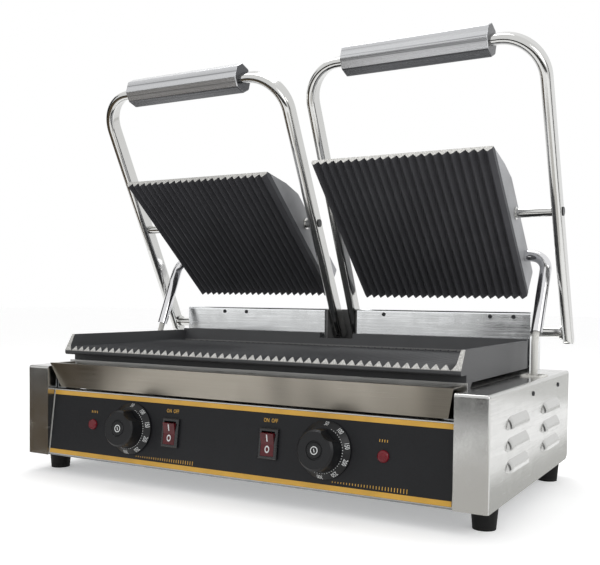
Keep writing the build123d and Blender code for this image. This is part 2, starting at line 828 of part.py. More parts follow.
def lower_grill_plate():
    """Cast iron plate: ribbed floor, side walls, rear wall, front lip and skirt."""
    wide = plate_half_width
    wall_in = wide - wall_top_thickness
    skirt_z = deck_z + skirt_gap
    rib_edge = (rib_count - 1) / 2 * rib_pitch + rib_base / 2
    right = [
        (rib_edge + 1, valley_z), (wall_in - wall_foot_width, valley_z + wall_foot_height),
        (wall_in - wall_draft, valley_z + wall_foot_mid_height), (wall_in, wall_top_z), (wide, wall_top_z),
        (wide, skirt_z), (wide - wall_skirt, skirt_z), (wide - wall_skirt, slab_under),
    ]
    ribs = []
    for index in range(rib_count):
        x = (index - (rib_count - 1) / 2) * rib_pitch
        ribs += [(x - rib_base / 2, valley_z), (x - rib_tip / 2, rib_top_z),
                 (x + rib_tip / 2, rib_top_z), (x + rib_base / 2, valley_z)]
    left = [(-x, z) for x, z in reversed(right)]
    plate = section(left + ribs + right, plate_front_y, plate_rear_y)
    plate -= prism([
        (plate_front_y - 1, valley_z + floor_step), (plate_front_y, valley_z + floor_step),
        (front_slope_y, wall_top_z), (front_slope_y, wall_top_z + 2), (plate_front_y - 1, wall_top_z + 2),
    ], -wide - 1, wide + 1)
    plate -= block(-wide - 1, wide + 1, plate_front_y - 1, riser_y, deck_z, valley_z - lip_thickness)
    lip = plate.edges().filter_by(Axis.X).sort_by(
        lambda e: e.center().Y - plate_front_y + abs(e.center().Z - valley_z + lip_thickness))[0]
    plate = fillet(lip, lip_round)
    gutter_rear = plate_rear_y - plate_clearance - 1
    plate -= prism([
        (gutter_rear - gutter_width - gutter_end, rib_top_z + 1), (gutter_rear - gutter_width, valley_z),
        (gutter_rear + 1, valley_z), (gutter_rear + 1, rib_top_z + 1),
    ], -rib_edge, rib_edge)
    plate += prism([
        (gutter_rear, valley_z - 1), (gutter_rear, valley_z), (gutter_rear + gutter_end, rib_top_z),
        (plate_rear_y - wall_top_thickness, rear_wall_top_z), (plate_rear_y, rear_wall_top_z),
        (plate_rear_y, skirt_z), (plate_rear_y - wall_skirt, skirt_z),
        (plate_rear_y - wall_skirt, valley_z - 1),
    ], -wide, wide)
    plate += block(-wide, wide, riser_y, riser_y + wall_skirt, deck_z, slab_under + 1)
    foot = prism([
        (riser_y, deck_z), (riser_y + 2 * wall_skirt, deck_z),
        (riser_y + 3 * wall_skirt, skirt_z + 1), (riser_y, skirt_z + 1),
    ], wide - wall_skirt, wide)
    plate += foot + mirrored(foot)
    foot_x = wide - rear_foot_inset
    rear_foot = block(foot_x - rear_foot_length, foot_x, plate_rear_y - 2 * wall_skirt,
                      plate_rear_y, deck_z, slab_under + 1)
    plate += rear_foot + mirrored(rear_foot)
    plate -= block(-leg_notch_half, leg_notch_half, plate_rear_y - plate_clearance - 2, plate_rear_y + 1,
                   rear_wall_top_z - leg_notch_depth, rear_wall_top_z + 1)
    return plate


def serpentine(near, far, front, rear, z, loop_short, end_z):
    """Points of an element that runs to the front and back twice, with its ends turned up or down."""
    step = (far - near) / 3
    return [
        (near, rear, end_z), (near, rear, z), (near, front, z), (near + step, front, z),
        (near + step, rear - loop_short, z), (far - step, rear - loop_short, z), (far - step, front, z),
        (far, front, z), (far, rear, z), (far, rear, end_z),
    ]


def lower_heating_elements():
    """Two serpentine elements under the lower plate, ends turned down through the deck."""
    return both(pipe(serpentine(
        heater_near_x, heater_far_x, heater_front_y, heater_rear_y, heater_z,
        heater_loop_short, deck_z - heater_leg,
    ), heater_bend, heater_diameter))


def heater_clamp_bars():
    """Straps that press the elements to the plate, each hung from two studs."""
    near, far = heater_near_x, heater_far_x
    top = heater_z - heater_diameter / 2 - seat_gap
    bars = []
    for y in clamp_rows:
        strap = block(near - clamp_overhang, far + clamp_overhang, y - clamp_width / 2,
                      y + clamp_width / 2, top - clamp_thickness, top)
        for x in (near - stud_overhang, far + stud_overhang):
            strap += rod((x, y, top - 1), (x, y, slab_under), stud_diameter)
        bars.append(strap)
    return group([both(strap) for strap in bars])


def lower_heat_shield():
    """Tray-shaped shield under the deck that keeps the heat from the wiring."""
    wide = column_inner - shield_inset
    front = tray_depth + shield_front_gap
    bottom = deck_z - sheet - shield_drop
    shield = block(-wide, wide, front, shield_rear_y, bottom, bottom + shield_sheet)
    for y in (front, shield_rear_y - shield_sheet):
        shield += block(-wide, wide, y, y + shield_sheet, bottom, deck_z - sheet)
    for x, y in heater_ends:
        for sign in (-1, 1):
            shield -= Pos(sign * x, y, bottom) * Cylinder(
                heater_diameter / 2 + heater_hole_margin, 6 * shield_sheet)
    return shield


def hinge_cover(screw_spots):
    """Right rear box over the hinge shaft, with closed ends and holes for its screws."""
    rear = inner_rear - sheet
    box = folded([
        (cover_front_y, deck_z), (cover_front_y, cover_top_z), (rear, cover_top_z), (rear, deck_z),
    ], sheet, bend, cover_inner_x, cover_outer_x)
    for x in (cover_inner_x, cover_outer_x - sheet):
        end = block(x, x + sheet, cover_front_y + sheet / 2, rear - sheet / 2,
                    deck_z, cover_top_z - sheet / 2)
        end = fillet(end.edges().filter_by(Axis.X).group_by(Axis.Z)[-1], bend - sheet / 2)
        box += end
    box -= bar(cover_inner_x - 1, cover_outer_x + 1, hinge_y, hinge_z,
               hinge_shaft_diameter + shaft_hole_margin)
    for x in screw_spots:
        box -= screw_hole(x, cover_front_y, cover_top_z - cover_screw_drop, (0, -1, 0))
    return box


def centre_bracket():
    """Black channel between the covers whose cheeks carry the inner ends of the hinge shafts."""
    outer = cover_inner_x - seat_gap
    top = cover_top_z - bracket_drop
    bracket = block(-outer, outer, cheek_front_y, cheek_rear_y, deck_z, deck_z + cheek_thickness)
    bracket += block(-outer, outer, cheek_rear_y - cheek_thickness, cheek_rear_y, deck_z, top)
    cheek = block(outer - cheek_thickness, outer, cheek_front_y, cheek_rear_y, deck_z, top)
    bracket += cheek + mirrored(cheek)
    bracket -= bar(-outer - 1, outer + 1, hinge_y, hinge_z, hinge_shaft_diameter + 2 * running_clearance)
    return bracket


def hinge_bearings():
    """Upright plates that carry the outer ends of the hinge shafts."""
    plate = block(bearing_x, bearing_x + bearing_thickness, hinge_y - bearing_half_depth,
                  hinge_y + bearing_half_depth, deck_z, hinge_z + bearing_half_depth)
    plate = fillet(plate.edges().filter_by(Axis.X).group_by(Axis.Z)[-1], bearing_half_depth * 0.6)
    foot = block(bearing_x - bearing_foot, bearing_x, hinge_y - bearing_half_depth,
                 hinge_y + bearing_half_depth, deck_z, deck_z + bearing_foot_thickness)
    plate += foot
    plate -= bar(bearing_x - 1, bearing_x + bearing_thickness + 1, hinge_y, hinge_z,
                 hinge_shaft_diameter + 2 * running_clearance)
    return both(plate)


def least_turn_gap(path, radius):
    """Least gap of a wound wire to itself, measured between points at least half a turn apart."""
    count = 600
    points = [path @ (index / count) for index in range(count + 1)]
    apart = int(3 * radius * count / path.length) + 1
    least = min((points[first] - points[second]).length
                for first in range(count) for second in range(first + apart, count + 1))
    return least - spring_wire


def lid_springs():
    """Wound springs round the hinge shafts that carry part of the lids' weight."""
    radius = hinge_shaft_diameter / 2 + spring_play + spring_wire / 2
    coil = Helix(pitch=spring_pitch, height=spring_turns * spring_pitch, radius=radius)
    reach = hinge_z - deck_z - seat_gap
    tail = Line(coil @ 0 - (coil % 0) * reach, coil @ 0)
    arm = Line(coil @ 1, coil @ 1 + (coil % 1) * spring_arm)
    path = Wire([tail, coil, arm])
    print("least gap between the spring's turns is", round(least_turn_gap(path, radius), 3))
    spring = sweep(Plane(origin=path @ 0, z_dir=path % 0) * Circle(spring_wire / 2), path=path)
    place = Plane(origin=(spring_x, hinge_y, hinge_z), x_dir=(0, 1, 0), z_dir=(1, 0, 0))
    return both(place * spring)


def foot(x, y):
    """Tapered rubber foot with a blind hole for its screw."""
    pad = Pos(x, y, foot_height / 2) * Cone(foot_bottom_diameter / 2, foot_top_diameter / 2, foot_height)
    hole = Pos(x, y, foot_height) * Cylinder(
        foot_screw_diameter / 2 + fixed_clearance, foot_screw_depth, align=high)
    return pad - hole


def foot_spots():
    """Middle of each foot."""
    return [(x, y) for x in (-half + foot_inset, half - foot_inset)
            for y in (foot_setback, body_depth - foot_setback)]


def rubber_feet():
    """Four feet under the pan."""
    return group([foot(x, y) for x, y in foot_spots()])


def foot_screws():
    """Screws from inside the pan into the feet."""
    screws = []
    for x, y in foot_spots():
        head = Pos(x, y, pan_top) * Cylinder(foot_screw_head / 2, foot_screw_head_height, align=low)
        head -= Pos(x, y, pan_top + foot_screw_head_height) * Box(
            foot_screw_diameter, small_screw_slot_width, 2 * small_screw_slot_depth)
        shank = Pos(x, y, pan_top) * Cylinder(
            foot_screw_diameter / 2, sheet + foot_screw_depth - seat_gap, align=high)
        screws.append(head + shank)
    return group(screws)


def body_screws():
    """Small screws that hold the covers, the sides and the back."""
    screws = []
    for x in right_cover_screws + [-spot for spot in left_cover_screws]:
        screws.append(pan_head_screw(x, cover_front_y, cover_top_z - cover_screw_drop, (0, -1, 0)))
    for y, z in side_screw_spots:
        screws.append(pan_head_screw(half, y, z, (1, 0, 0)))
        screws.append(pan_head_screw(-half, y, z, (-1, 0, 0)))
    for x in rear_screw_spots:
        screws.append(pan_head_screw(x, body_depth, deck_z - deck_return / 2, (0, 1, 0)))
    return group(screws)


def terminal_block():
    """Mains terminal block on the pan near the gland."""
    x0, y0 = gland_x - terminal_length / 2, inner_rear - terminal_setback
    floor = pan_top + terminal_floor
    top = pan_top + terminal_height + 1
    body = block(x0, x0 + terminal_length, y0, y0 + terminal_depth, pan_top, pan_top + terminal_height)
    way = terminal_length / terminal_ways
    for index in range(terminal_ways):
        x = x0 + (index + 0.5) * way
        for y in (y0 - 1, y0 + terminal_depth - terminal_pocket):
            body -= block(x - terminal_pocket_half, x + terminal_pocket_half, y, y + terminal_pocket + 1,
                          floor, top)
    return body


def cord_gland():
    """Cable gland through the rear panel: hexagon, neck and nut."""
    place = Plane(origin=(gland_x, body_depth, gland_z), z_dir=(0, 1, 0))
    head = extrude(RegularPolygon(gland_hex / 2, 6), gland_hex_length)
    dome = Pos(0, 0, gland_hex_length) * Cylinder(
        gland_dome_diameter / 2, gland_reach - gland_hex_length, align=low)
    dome = fillet(dome.edges().sort_by(Axis.Z)[-1], gland_dome_round)
    neck = Cylinder(gland_diameter / 2, sheet + gland_neck, align=high)
    nut = Pos(0, 0, -sheet) * extrude(RegularPolygon(gland_hex / 2, 6), -gland_nut)
    bore = Cylinder(gland_bore / 2, 4 * gland_reach)
    return place * (head + dome + neck + nut - bore)


def deck_bushings():
    """Bushings in the deck's slots, which the conduits plunge through."""
    place = Pos(conduit_x, slot_centre_y, deck_z)
    ring = extrude(deck_slot(bushing_wall + bushing_flange), bushing_flange_height)
    ring += extrude(deck_slot(bushing_wall - fixed_clearance), -3 * sheet)
    ring -= extrude(deck_slot(0.0), 3 * bushing_flange_height, both=True)
    return both(place * ring)


def lead_clips():
    """Blocks on the side pans that hold the lower ends of the heater leads."""
    clip = block(conduit_x - lead_diameter, shell_inside, lead_y - clip_length / 2, lead_y + clip_length / 2,
                 lead_foot_z, lead_foot_z + clip_height)
    clip -= Pos(conduit_x, lead_y, lead_foot_z) * Cylinder(
        lead_diameter / 2 + fixed_clearance, 4 * clip_height)
    return both(clip)


def lid_direction(angle):
    """Unit step along a bow that stands at an angle above the front horizontal, in Y and Z."""
    return -cos(radians(angle)), sin(radians(angle))


def lid_place(angle):
    """Turns a bow drawn upright on the hinge axis to its angle above the front horizontal."""
    return Location((0, hinge_y, hinge_z)) * Rot(90 - angle, 0, 0)


def handle_bow():
    """Bow of flat-oval tube, drawn upright with the hinge shaft at the origin."""
    path = FilletPolyline(
        (leg_inner_x, 0, -leg_tail), (leg_inner_x, 0, bow_height),
        (leg_outer_x, 0, bow_height), (leg_outer_x, 0, -leg_tail), radius=bow_corner_radius)
    start = Plane(origin=path @ 0, x_dir=(0, 1, 0), z_dir=path % 0)
    outer = sweep(start * SlotOverall(tube_deep, tube_across), path=path)
    inner = sweep(start * SlotOverall(tube_deep - 2 * tube_wall, tube_across - 2 * tube_wall), path=path)
    tube = outer - inner
    round_z = tube_deep / 2 - leg_tail
    for x in (leg_inner_x, leg_outer_x):
        cap = Pos(x, 0, -leg_tail) * extrude(
            SlotOverall(tube_deep, tube_across, rotation=90), leg_cap)
        tube += cap
        corner = block(x - tube_across, x + tube_across, -tube_deep, tube_deep, -leg_tail - 1, round_z)
        corner -= bar(x - 2 * tube_across, x + 2 * tube_across, 0, round_z, tube_deep)
        tube -= corner
    inner_end = leg_inner_x + tube_across
    outer_end = leg_outer_x - tube_across
    for z, diameter in ((0, hinge_shaft_diameter), (pivot_arm, cross_shaft_diameter)):
        tube -= bar(leg_inner_x, inner_end, 0, z, diameter + 2 * fixed_clearance)
        tube -= bar(outer_end, leg_outer_x, 0, z, diameter + 2 * fixed_clearance)
    plug = plug_stem_diameter + 2 * fixed_clearance
    tube -= bar(leg_inner_x - tube_across, leg_inner_x, 0, pivot_arm, plug)
    tube -= bar(leg_outer_x, leg_outer_x + tube_across, 0, pivot_arm, plug)
    return tube


def grip_half(side):
    """Half of the eight-sided grip, on one side of the bow's plane."""
    across = grip_across / 2
    flat = across - grip_corner
    points = [(-across, -flat), (-flat, -across), (flat, -across), (across, -flat),
              (across, flat), (flat, across), (-flat, across), (-across, flat)]
    face = make_face(Polyline(*points, close=True))
    face = fillet(face.vertices(), grip_edge_round)
    x0 = frame_centre_x - grip_length / 2
    solid = extrude(Plane.YZ.offset(x0) * face, grip_length, dir=(1, 0, 0))
    solid = fillet(solid.faces().filter_by(Axis.X).edges(), grip_end_round)
    bore = Plane.YZ.offset(x0 - 1) * SlotOverall(
        tube_deep + 2 * fixed_clearance, tube_across + 2 * fixed_clearance)
    solid -= extrude(bore, grip_length + 2, dir=(1, 0, 0))
    keep = block(x0 - 1, x0 + grip_length + 1, 0, side * grip_across, -grip_across, grip_across)
    return Pos(0, 0, bow_height) * (solid & keep)


def cross_shaft():
    """Shaft across the bow that the upper plate tilts on."""
    start = leg_inner_x - tube_across / 2 + tube_wall + plug_head + seat_gap
    end = leg_outer_x + tube_across / 2 - tube_wall - plug_head - seat_gap
    return bar(start, end, 0, pivot_arm, cross_shaft_diameter)


def hinge_shaft():
    """Shaft that joins the two legs and turns in the bearings."""
    start = leg_inner_x - tube_across / 2 + tube_wall + seat_gap
    end = leg_outer_x + tube_across / 2 - tube_wall - seat_gap
    shaft = bar(start, end, 0, 0, hinge_shaft_diameter)
    leg_face = leg_outer_x - tube_across / 2
    return shaft + bar(leg_face - seat_gap - shaft_collar_length, leg_face - seat_gap, 0, 0,
                       hinge_shaft_diameter + 2 * shaft_collar_step)


def bow_plugs():
    """Black plugs that close the holes over the ends of the cross shaft."""
    inner_face = leg_inner_x - tube_across / 2
    outer_face = leg_outer_x + tube_across / 2
    depth = tube_wall + plug_head
    near = bar(inner_face - plug_head, inner_face, 0, pivot_arm, plug_diameter)
    near += bar(inner_face, inner_face + depth, 0, pivot_arm, plug_stem_diameter)
    far = bar(outer_face, outer_face + plug_head, 0, pivot_arm, plug_diameter)
    far += bar(outer_face - depth, outer_face, 0, pivot_arm, plug_stem_diameter)
    return group([near, far])


def upper_point(s, t):
    """Point of the upper plate's side profile: s back from its front edge, t up from its rib tips."""
    return s - pivot_from_front, t - pivot_height


def slope_at(t):
    """How far back the sloping nose is at a height."""
    return (t - upper_nose) * slope_knee_s / (slope_knee_t - upper_nose)


def upper_plate():
    """Cast iron upper plate with ribs below, drawn closed with its pivot at the origin."""
    middle = (upper_inner_x + upper_outer_x) / 2
    front, bottom = upper_point(0, 0)
    top = bottom + upper_plate_height
    valley = bottom + rib_height
    points = [(upper_outer_x, top), (upper_inner_x, top), (upper_inner_x, valley)]
    for index in range(upper_rib_count):
        x = middle + (index - (upper_rib_count - 1) / 2) * rib_pitch
        points += [(x - rib_base / 2, valley), (x - rib_tip / 2, bottom),
                   (x + rib_tip / 2, bottom), (x + rib_base / 2, valley)]
    points.append((upper_outer_x, valley))
    plate = section(points, front, front + upper_length)
    plate -= prism([
        upper_point(-1, upper_nose), upper_point(0, upper_nose),
        upper_point(slope_at(upper_plate_height), upper_plate_height),
        upper_point(slope_at(upper_plate_height), upper_plate_height + 1),
        upper_point(-1, upper_plate_height + 1),
    ], upper_inner_x - 1, upper_outer_x + 1)
    recess = block(upper_inner_x + recess_margin, upper_outer_x - recess_margin,
                   front + recess_front, front + upper_length - recess_margin, top - recess_depth, top + 1)
    return plate - recess


def cover_profile(inset):
    """Side profile of the upper cover, drawn in by an inset."""
    base = upper_plate_height - inset
    rear = upper_length - cover_rear_set - inset
    return [
        upper_point(slope_at(base) + 2 * inset, base),
        upper_point(slope_knee_s + inset / 2, slope_knee_t - inset),
        upper_point(cover_crest_s + inset / 4, cover_crest_t - inset),
        upper_point(rear - cover_rear_lean, cover_crest_t - inset),
        upper_point(rear, base),
    ]


def upper_cover():
    """Hollow cover over the upper heating element, with holes for shaft and conduit."""
    shell = prism(cover_profile(0), upper_inner_x, upper_outer_x)
    crest = shell.edges().filter_by(Axis.X).group_by(Axis.Z)[-1]
    shell = fillet(crest, cover_round)
    shell -= prism(cover_profile(cover_wall), upper_inner_x + cover_wall, upper_outer_x - cover_wall)
    for x in (upper_inner_x, upper_outer_x):
        shell -= bar(x - 2 * cover_wall, x + 2 * cover_wall, 0, 0,
                     bush_outer_diameter + 2 * fixed_clearance)
    shell -= bar(upper_outer_x - 2 * cover_wall, upper_outer_x + 2 * cover_wall, conduit_behind, 0,
                 conduit_diameter + 2 * fixed_clearance)
    return shell


def pivot_bushes():
    """Flanged bushes in the cover's sides that turn on the cross shaft."""
    pieces = []
    for x, out in ((upper_inner_x, -1), (upper_outer_x, 1)):
        bush = bar(x, x - out * bush_length, 0, 0, bush_outer_diameter)
        bush += bar(x, x + out * bush_flange, 0, 0, bush_flange_diameter)
        bush -= bar(x - 2 * bush_length, x + 2 * bush_length, 0, 0,
                    cross_shaft_diameter + 2 * running_clearance)
        pieces.append(bush)
    return group(pieces)


def upper_heater():
    """Serpentine element on top of the upper plate, ends turned up inside the cover."""
    inset = upper_heater_inset
    front, z = upper_point(upper_heater_front, upper_plate_height - recess_depth)
    rear = upper_point(upper_length - inset, 0)[0]
    z += heater_gap + heater_diameter / 2
    return pipe(serpentine(
        upper_inner_x + inset, upper_outer_x - inset, front, rear, z,
        upper_heater_loop_short, z + upper_heater_leg,
    ), upper_heater_bend, heater_diameter)


def conduit():
    """Bent steel tube that carries the cable out of the plate's side and down into the body."""
    points = [
        (upper_outer_x - conduit_tail, conduit_behind, 0),
        (conduit_x, conduit_behind, 0),
        (conduit_x, conduit_end_behind, -conduit_end_below),
    ]
    tube = pipe(points, conduit_bend, conduit_diameter) - pipe(points, conduit_bend, conduit_bore)
    drop = Vector(0, conduit_end_behind - conduit_behind, -conduit_end_below).normalized()
    mouth = Plane(origin=points[-1], z_dir=(-drop.X, -drop.Y, -drop.Z))
    ferrule = Cylinder(conduit_bore / 2 + conduit_wall / 2, ferrule_length, align=low)
    ferrule -= Cylinder(lead_diameter / 2 + fixed_clearance, 4 * ferrule_length)
    return tube + mouth * ferrule


def pivot_open(angle):
    """Where the cross shaft stands with the lid open, in Y and Z."""
    step_y, step_z = lid_direction(angle)
    return hinge_y + pivot_arm * step_y, hinge_z + pivot_arm * step_z


def plate_place(angle, tilt):
    """Puts a closed plate at its open place and tilt."""
    y, z = pivot_open(angle)
    return Location((0, y, z)) * Rot(-tilt, 0, 0)


def heater_lead(angle, tilt):
    """Sleeved lead between the conduit's mouth and the inside of the body."""
    y, z = pivot_open(angle)
    back, up = cos(radians(tilt)), sin(radians(tilt))
    mouth_y = y + conduit_end_behind * back - conduit_end_below * up
    mouth_z = z - conduit_end_behind * up - conduit_end_below * back
    run_y = conduit_end_behind - conduit_behind
    run = hypot(run_y, conduit_end_below)
    along_y = (run_y * back - conduit_end_below * up) / run
    along_z = (-run_y * up - conduit_end_below * back) / run
    beyond = max((lead_y - mouth_y) / along_y, lead_least)
    points = [
        (conduit_x, mouth_y - lead_overlap * along_y, mouth_z - lead_overlap * along_z),
        (conduit_x, mouth_y + beyond * along_y, mouth_z + beyond * along_z),
        (conduit_x, mouth_y + beyond * along_y, lead_foot_z),
    ]
    return pipe(points, lead_bend, lead_diameter)


def save(name, shape):
    """Write one sub-part, moved to the part's own origin."""
    export_step(Pos(0, front_y, 0) * shape, "parts/" + name + ".step")


def lid(side, angle, tilt):
    """Every piece of one lid, in its open place. The left lid is the right one mirrored."""
    flip = mirrored if side == "left" else (lambda shape: shape)
    bow_pieces = {
        "handle_bow": handle_bow(),
        "grip_upper_half": grip_half(1),
        "grip_lower_half": grip_half(-1),
        "cross_shaft": cross_shaft(),
        "hinge_shaft": hinge_shaft(),
        "bow_plugs": bow_plugs(),
    }
    plate_pieces = {
        "upper_plate": upper_plate(),
        "upper_cover": upper_cover(),
        "upper_heater": upper_heater(),
        "conduit": conduit(),
        "pivot_bushes": pivot_bushes(),
    }
    for name, shape in bow_pieces.items():
        save(side + "_" + name, flip(lid_place(angle) * shape))
    for name, shape in plate_pieces.items():
        save(side + "_" + name, flip(plate_place(angle, tilt) * shape))
    save(side + "_heater_lead", flip(heater_lead(angle, tilt)))


def main():
    os.makedirs("parts", exist_ok=True)
    save("base_pan", base_pan())
    save("right_side_pan", side_pan())
    save("left_side_pan", mirrored(side_pan()))
    save("top_deck", top_deck())
    save("front_panel", front_panel())
    save("panel_overlay", panel_overlay())
    save("overlay_stripes", overlay_stripes())
    save("rear_panel", rear_panel())
    save("lower_grill_plate", lower_grill_plate())
    save("lower_heating_elements", lower_heating_elements())
    save("heater_clamp_bars", heater_clamp_bars())
    save("lower_heat_shield", lower_heat_shield())
    save("right_hinge_cover", hinge_cover(right_cover_screws))
    save("left_hinge_cover", mirrored(hinge_cover(left_cover_screws)))
    save("centre_bracket", centre_bracket())
    save("hinge_bearings", hinge_bearings())
    save("lid_springs", lid_springs())
    save("rubber_feet", rubber_feet())
    save("foot_screws", foot_screws())
    save("body_screws", body_screws())
    save("terminal_block", terminal_block())
    save("cord_gland", cord_gland())
    save("deck_bushings", deck_bushings())
    save("lead_clips", lead_clips())
    save("tray_rails", tray_rails())
    save("grease_tray", grease_tray())
    save("thermostats", group([thermostat(left_knob_x), thermostat(right_knob_x)]))
    save("lamp_lenses", group([lamp_lens(left_lamp_x), lamp_lens(right_lamp_x)]))
    save("switch_housings", group([switch_housing(left_switch_x), switch_housing(right_switch_x)]))
    sides = (("left", left_knob_x, left_switch_x), ("right", right_knob_x, right_switch_x))
    for side, knob_x, switch_x in sides:
        save(side + "_knob", knob(knob_x))
        save(side + "_knob_spindle", knob_spindle(knob_x))
        save(side + "_rocker", rocker(switch_x))
    lid("right", right_open_angle, right_plate_tilt)
    lid("left", left_open_angle, left_plate_tilt)
    print("origin is", round(-front_y, 3), "behind the column faces")


main()
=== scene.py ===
"""Looks of the twin contact grill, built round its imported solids. Metres, the solids' own frame."""
import json
import math

import bpy
from bpy.props import FloatProperty, FloatVectorProperty, IntProperty, PointerProperty
from bpy.types import Operator, Panel, PropertyGroup
from mathutils import Matrix, Vector
from mathutils.bvhtree import BVHTree


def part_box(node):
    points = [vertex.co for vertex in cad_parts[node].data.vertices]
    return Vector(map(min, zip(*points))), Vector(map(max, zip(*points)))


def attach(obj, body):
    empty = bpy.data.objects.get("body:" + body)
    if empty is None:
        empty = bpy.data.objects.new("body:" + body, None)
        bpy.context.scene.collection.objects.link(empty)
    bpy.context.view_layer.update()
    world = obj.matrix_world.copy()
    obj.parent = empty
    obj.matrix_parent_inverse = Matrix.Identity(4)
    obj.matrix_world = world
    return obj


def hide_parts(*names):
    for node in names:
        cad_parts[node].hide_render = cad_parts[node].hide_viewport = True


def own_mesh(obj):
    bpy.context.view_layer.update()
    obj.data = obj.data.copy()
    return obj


bl_info = {
    "name": "Twin Contact Grill",
    "version": (1, 0, 0),
    "blender": (4, 5, 0),
    "location": "View3D > Sidebar > Grill",
    "description": "Dresses the packed contact grill in its finishes, marks and small parts",
    "category": "Object",
}

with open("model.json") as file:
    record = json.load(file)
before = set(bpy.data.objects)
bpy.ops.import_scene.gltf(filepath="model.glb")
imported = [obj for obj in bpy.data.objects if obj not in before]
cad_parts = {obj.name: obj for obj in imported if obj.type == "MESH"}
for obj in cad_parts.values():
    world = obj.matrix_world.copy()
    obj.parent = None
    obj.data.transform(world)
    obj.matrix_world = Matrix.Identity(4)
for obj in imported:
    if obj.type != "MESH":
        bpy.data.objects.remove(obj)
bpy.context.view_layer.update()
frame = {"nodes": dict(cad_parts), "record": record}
joints = {joint["name"]: joint for joint in frame["record"]["behaviour"]["joints"]}
MM = 0.001

# The front panel leans back: its axes, read from the knobs' turning axis
panel_out = Vector(joints["left_knob_turn"]["axis"]).normalized()
panel_up = panel_out.cross(Vector((1, 0, 0)))
panel_origin = Vector((0, *joints["left_knob_turn"]["pos_m"][1:]))
foil_top = 0.5 * MM
# Printed marks: their thickness, how far off the surface they lie and how far off it they are looked for
print_thickness = 0.06 * MM
mark_lift = 0.05 * MM
mark_reach = 40 * MM
# The dial's dots and figures, angles in degrees; dots start from the right, figures from the top
dial_dots_radius = 22.6 * MM
dial_dots_start = -112
dial_dots_sweep = 178
dial_figures_radius = 26.0 * MM
first_figure_turn = -4
figure_step = 36
hub_stroke_turn = 0.3
# Where the signs stand from the middle of their rocker, switch, lamp or knob
rocker_stroke_up = 5.8 * MM
rocker_ring_down = 5.6 * MM
switch_sign_up = 23.5 * MM
lamp_sign_up = 14.5 * MM
caption_across = 49 * MM
caption_down = 30.0 * MM
# How far the upper plates lean as photographed, and where their front ends lie from their pivots
plate_tilts = {"left": 40.3, "right": 45.2}
pivot_from_front = 106.5 * MM
pivot_height = 29.0 * MM
left_knob_x = joints["left_knob_turn"]["pos_m"][0]
right_knob_x = joints["right_knob_turn"]["pos_m"][0]
left_switch_x = joints["left_rocker_tilt"]["pos_m"][0]
right_switch_x = joints["right_rocker_tilt"]["pos_m"][0]


def linear(code):
    """Linear red, green and blue of an sRGB hex colour."""
    values = [int(code[start:start + 2], 16) / 255 for start in (0, 2, 4)]
    return tuple(v / 12.92 if v <= 0.04045 else ((v + 0.055) / 1.055) ** 2.4 for v in values)


def colour(name, code, words):
    return FloatVectorProperty(name=name, description=words, subtype="COLOR", size=3,
                               min=0.0, max=1.0, default=linear(code))


def size(name, value, words):
    return FloatProperty(name=name, description=words, unit="LENGTH", default=value, min=0.0)


class GrillColours(PropertyGroup):
    """Colours of the finishes."""
    sheet: colour("Sheet steel", "C4C4C2", "Bare stainless sheet of the body")
    # Lighter than the body's sheet: partly the covers' own bright steel, partly painted light that lifts them
    # out of the shade under the plates
    cover_steel_painted_light: colour("Hinge cover steel", "F2F4F5", "Bright annealed sheet of the hinge covers")
    # A mid grey for a black-painted part: painted light that lifts it out of the shade between the covers
    bracket: colour("Bracket paint", "747474", "Black paint of the centre bracket")
    # The drawer's darker warm grey is painted reflection of the shaded floor in front of it, not the steel's
    # own colour
    tray: colour("Drawer steel", "8C877E", "Stainless sheet of the drawer")
    tube: colour("Tube steel", "CDCDCB", "Polished stainless tube of the bows")
    chrome: colour("Chrome", "DCDCDE", "Plated conduits")
    zinc: colour("Zinc", "9DA0A2", "Plated inner sheets and screws")
    # Dark grey screws: painted shade that stands in for the shade in their recesses
    screw: colour("Screws", "4A4B4D", "Blackened screws of the covers and sides")
    iron: colour("Upper plate coating", "464649", "Black coating of the upper plates")
    iron_low: colour("Lower plate coating", "414244", "Black coating of the lower plate, worn by use")
    # Colours of the plates' faces that look along X: painted sheen of the bright surroundings, not worn
    # coating
    lower_side_painted_sheen: colour("Lower plate side", "454648", "Worn coating on the lower plate's sides")
    upper_side_painted_sheen: colour("Upper plate side", "58595C", "Worn coating on the upper plates' sides")
    machined: colour("Machined iron", "D9D8D4", "Bare milled ends of the plates")
    cover: colour("Cover paint", "AEAFB2", "Grey hammered paint of the upper covers")
    foil: colour("Foil", "141518", "Black printed foil of the panel")
    gold: colour("Gold print", "CF9F38", "Gold stripes and signs of the panel")
    knob: colour("Knob", "161719", "Black moulded knobs and bezels")
    grip: colour("Grip", "CFD0D2", "Metal-effect lacquer of the grips")
    # Also the colour of the grips' ends and down-facing facets, which is painted shade and reflection
    grip_streaks_and_painted_shade: colour("Grip streaks", "4C4D50", "Dark draw lines and ends of the grips")
    print_white: colour("White print", "D8DADA", "Figures and dots of the dials")
    rocker: colour("Rocker", "520B13", "Dark red clear rockers")
    lamp: colour("Lamp", "6A0E1B", "Red lamp lenses")
    white_plastic: colour("White plastic", "E4E3DE", "Bushings and terminal block")
    rubber: colour("Rubber", "0E0E0E", "Feet")


class GrillSizes(PropertyGroup):
    """Sizes of the marks and of the finishes' grain."""
    dial_figure: size("Dial figure", 3.6 * MM, "Height of the dial's figures")
    dial_dot: size("Dial dot", 0.75 * MM, "Width of the dial's dots")
    dial_dots: IntProperty(name="Dial dots", description="Dots round the dial", default=27, min=2)
    switch_sign: size("Switch sign", 7.0 * MM, "Height of the rockers' signs")
    brush_step: size("Brush step", 1.6 * MM, "Spacing of the brush lines as drawn")
    cast_grain: size("Cast grain", 1.2 * MM, "Grain of the cast plates' coating")


def tints():
    return bpy.context.scene.grill_colours


def sizes():
    return bpy.context.scene.grill_sizes


# Materials


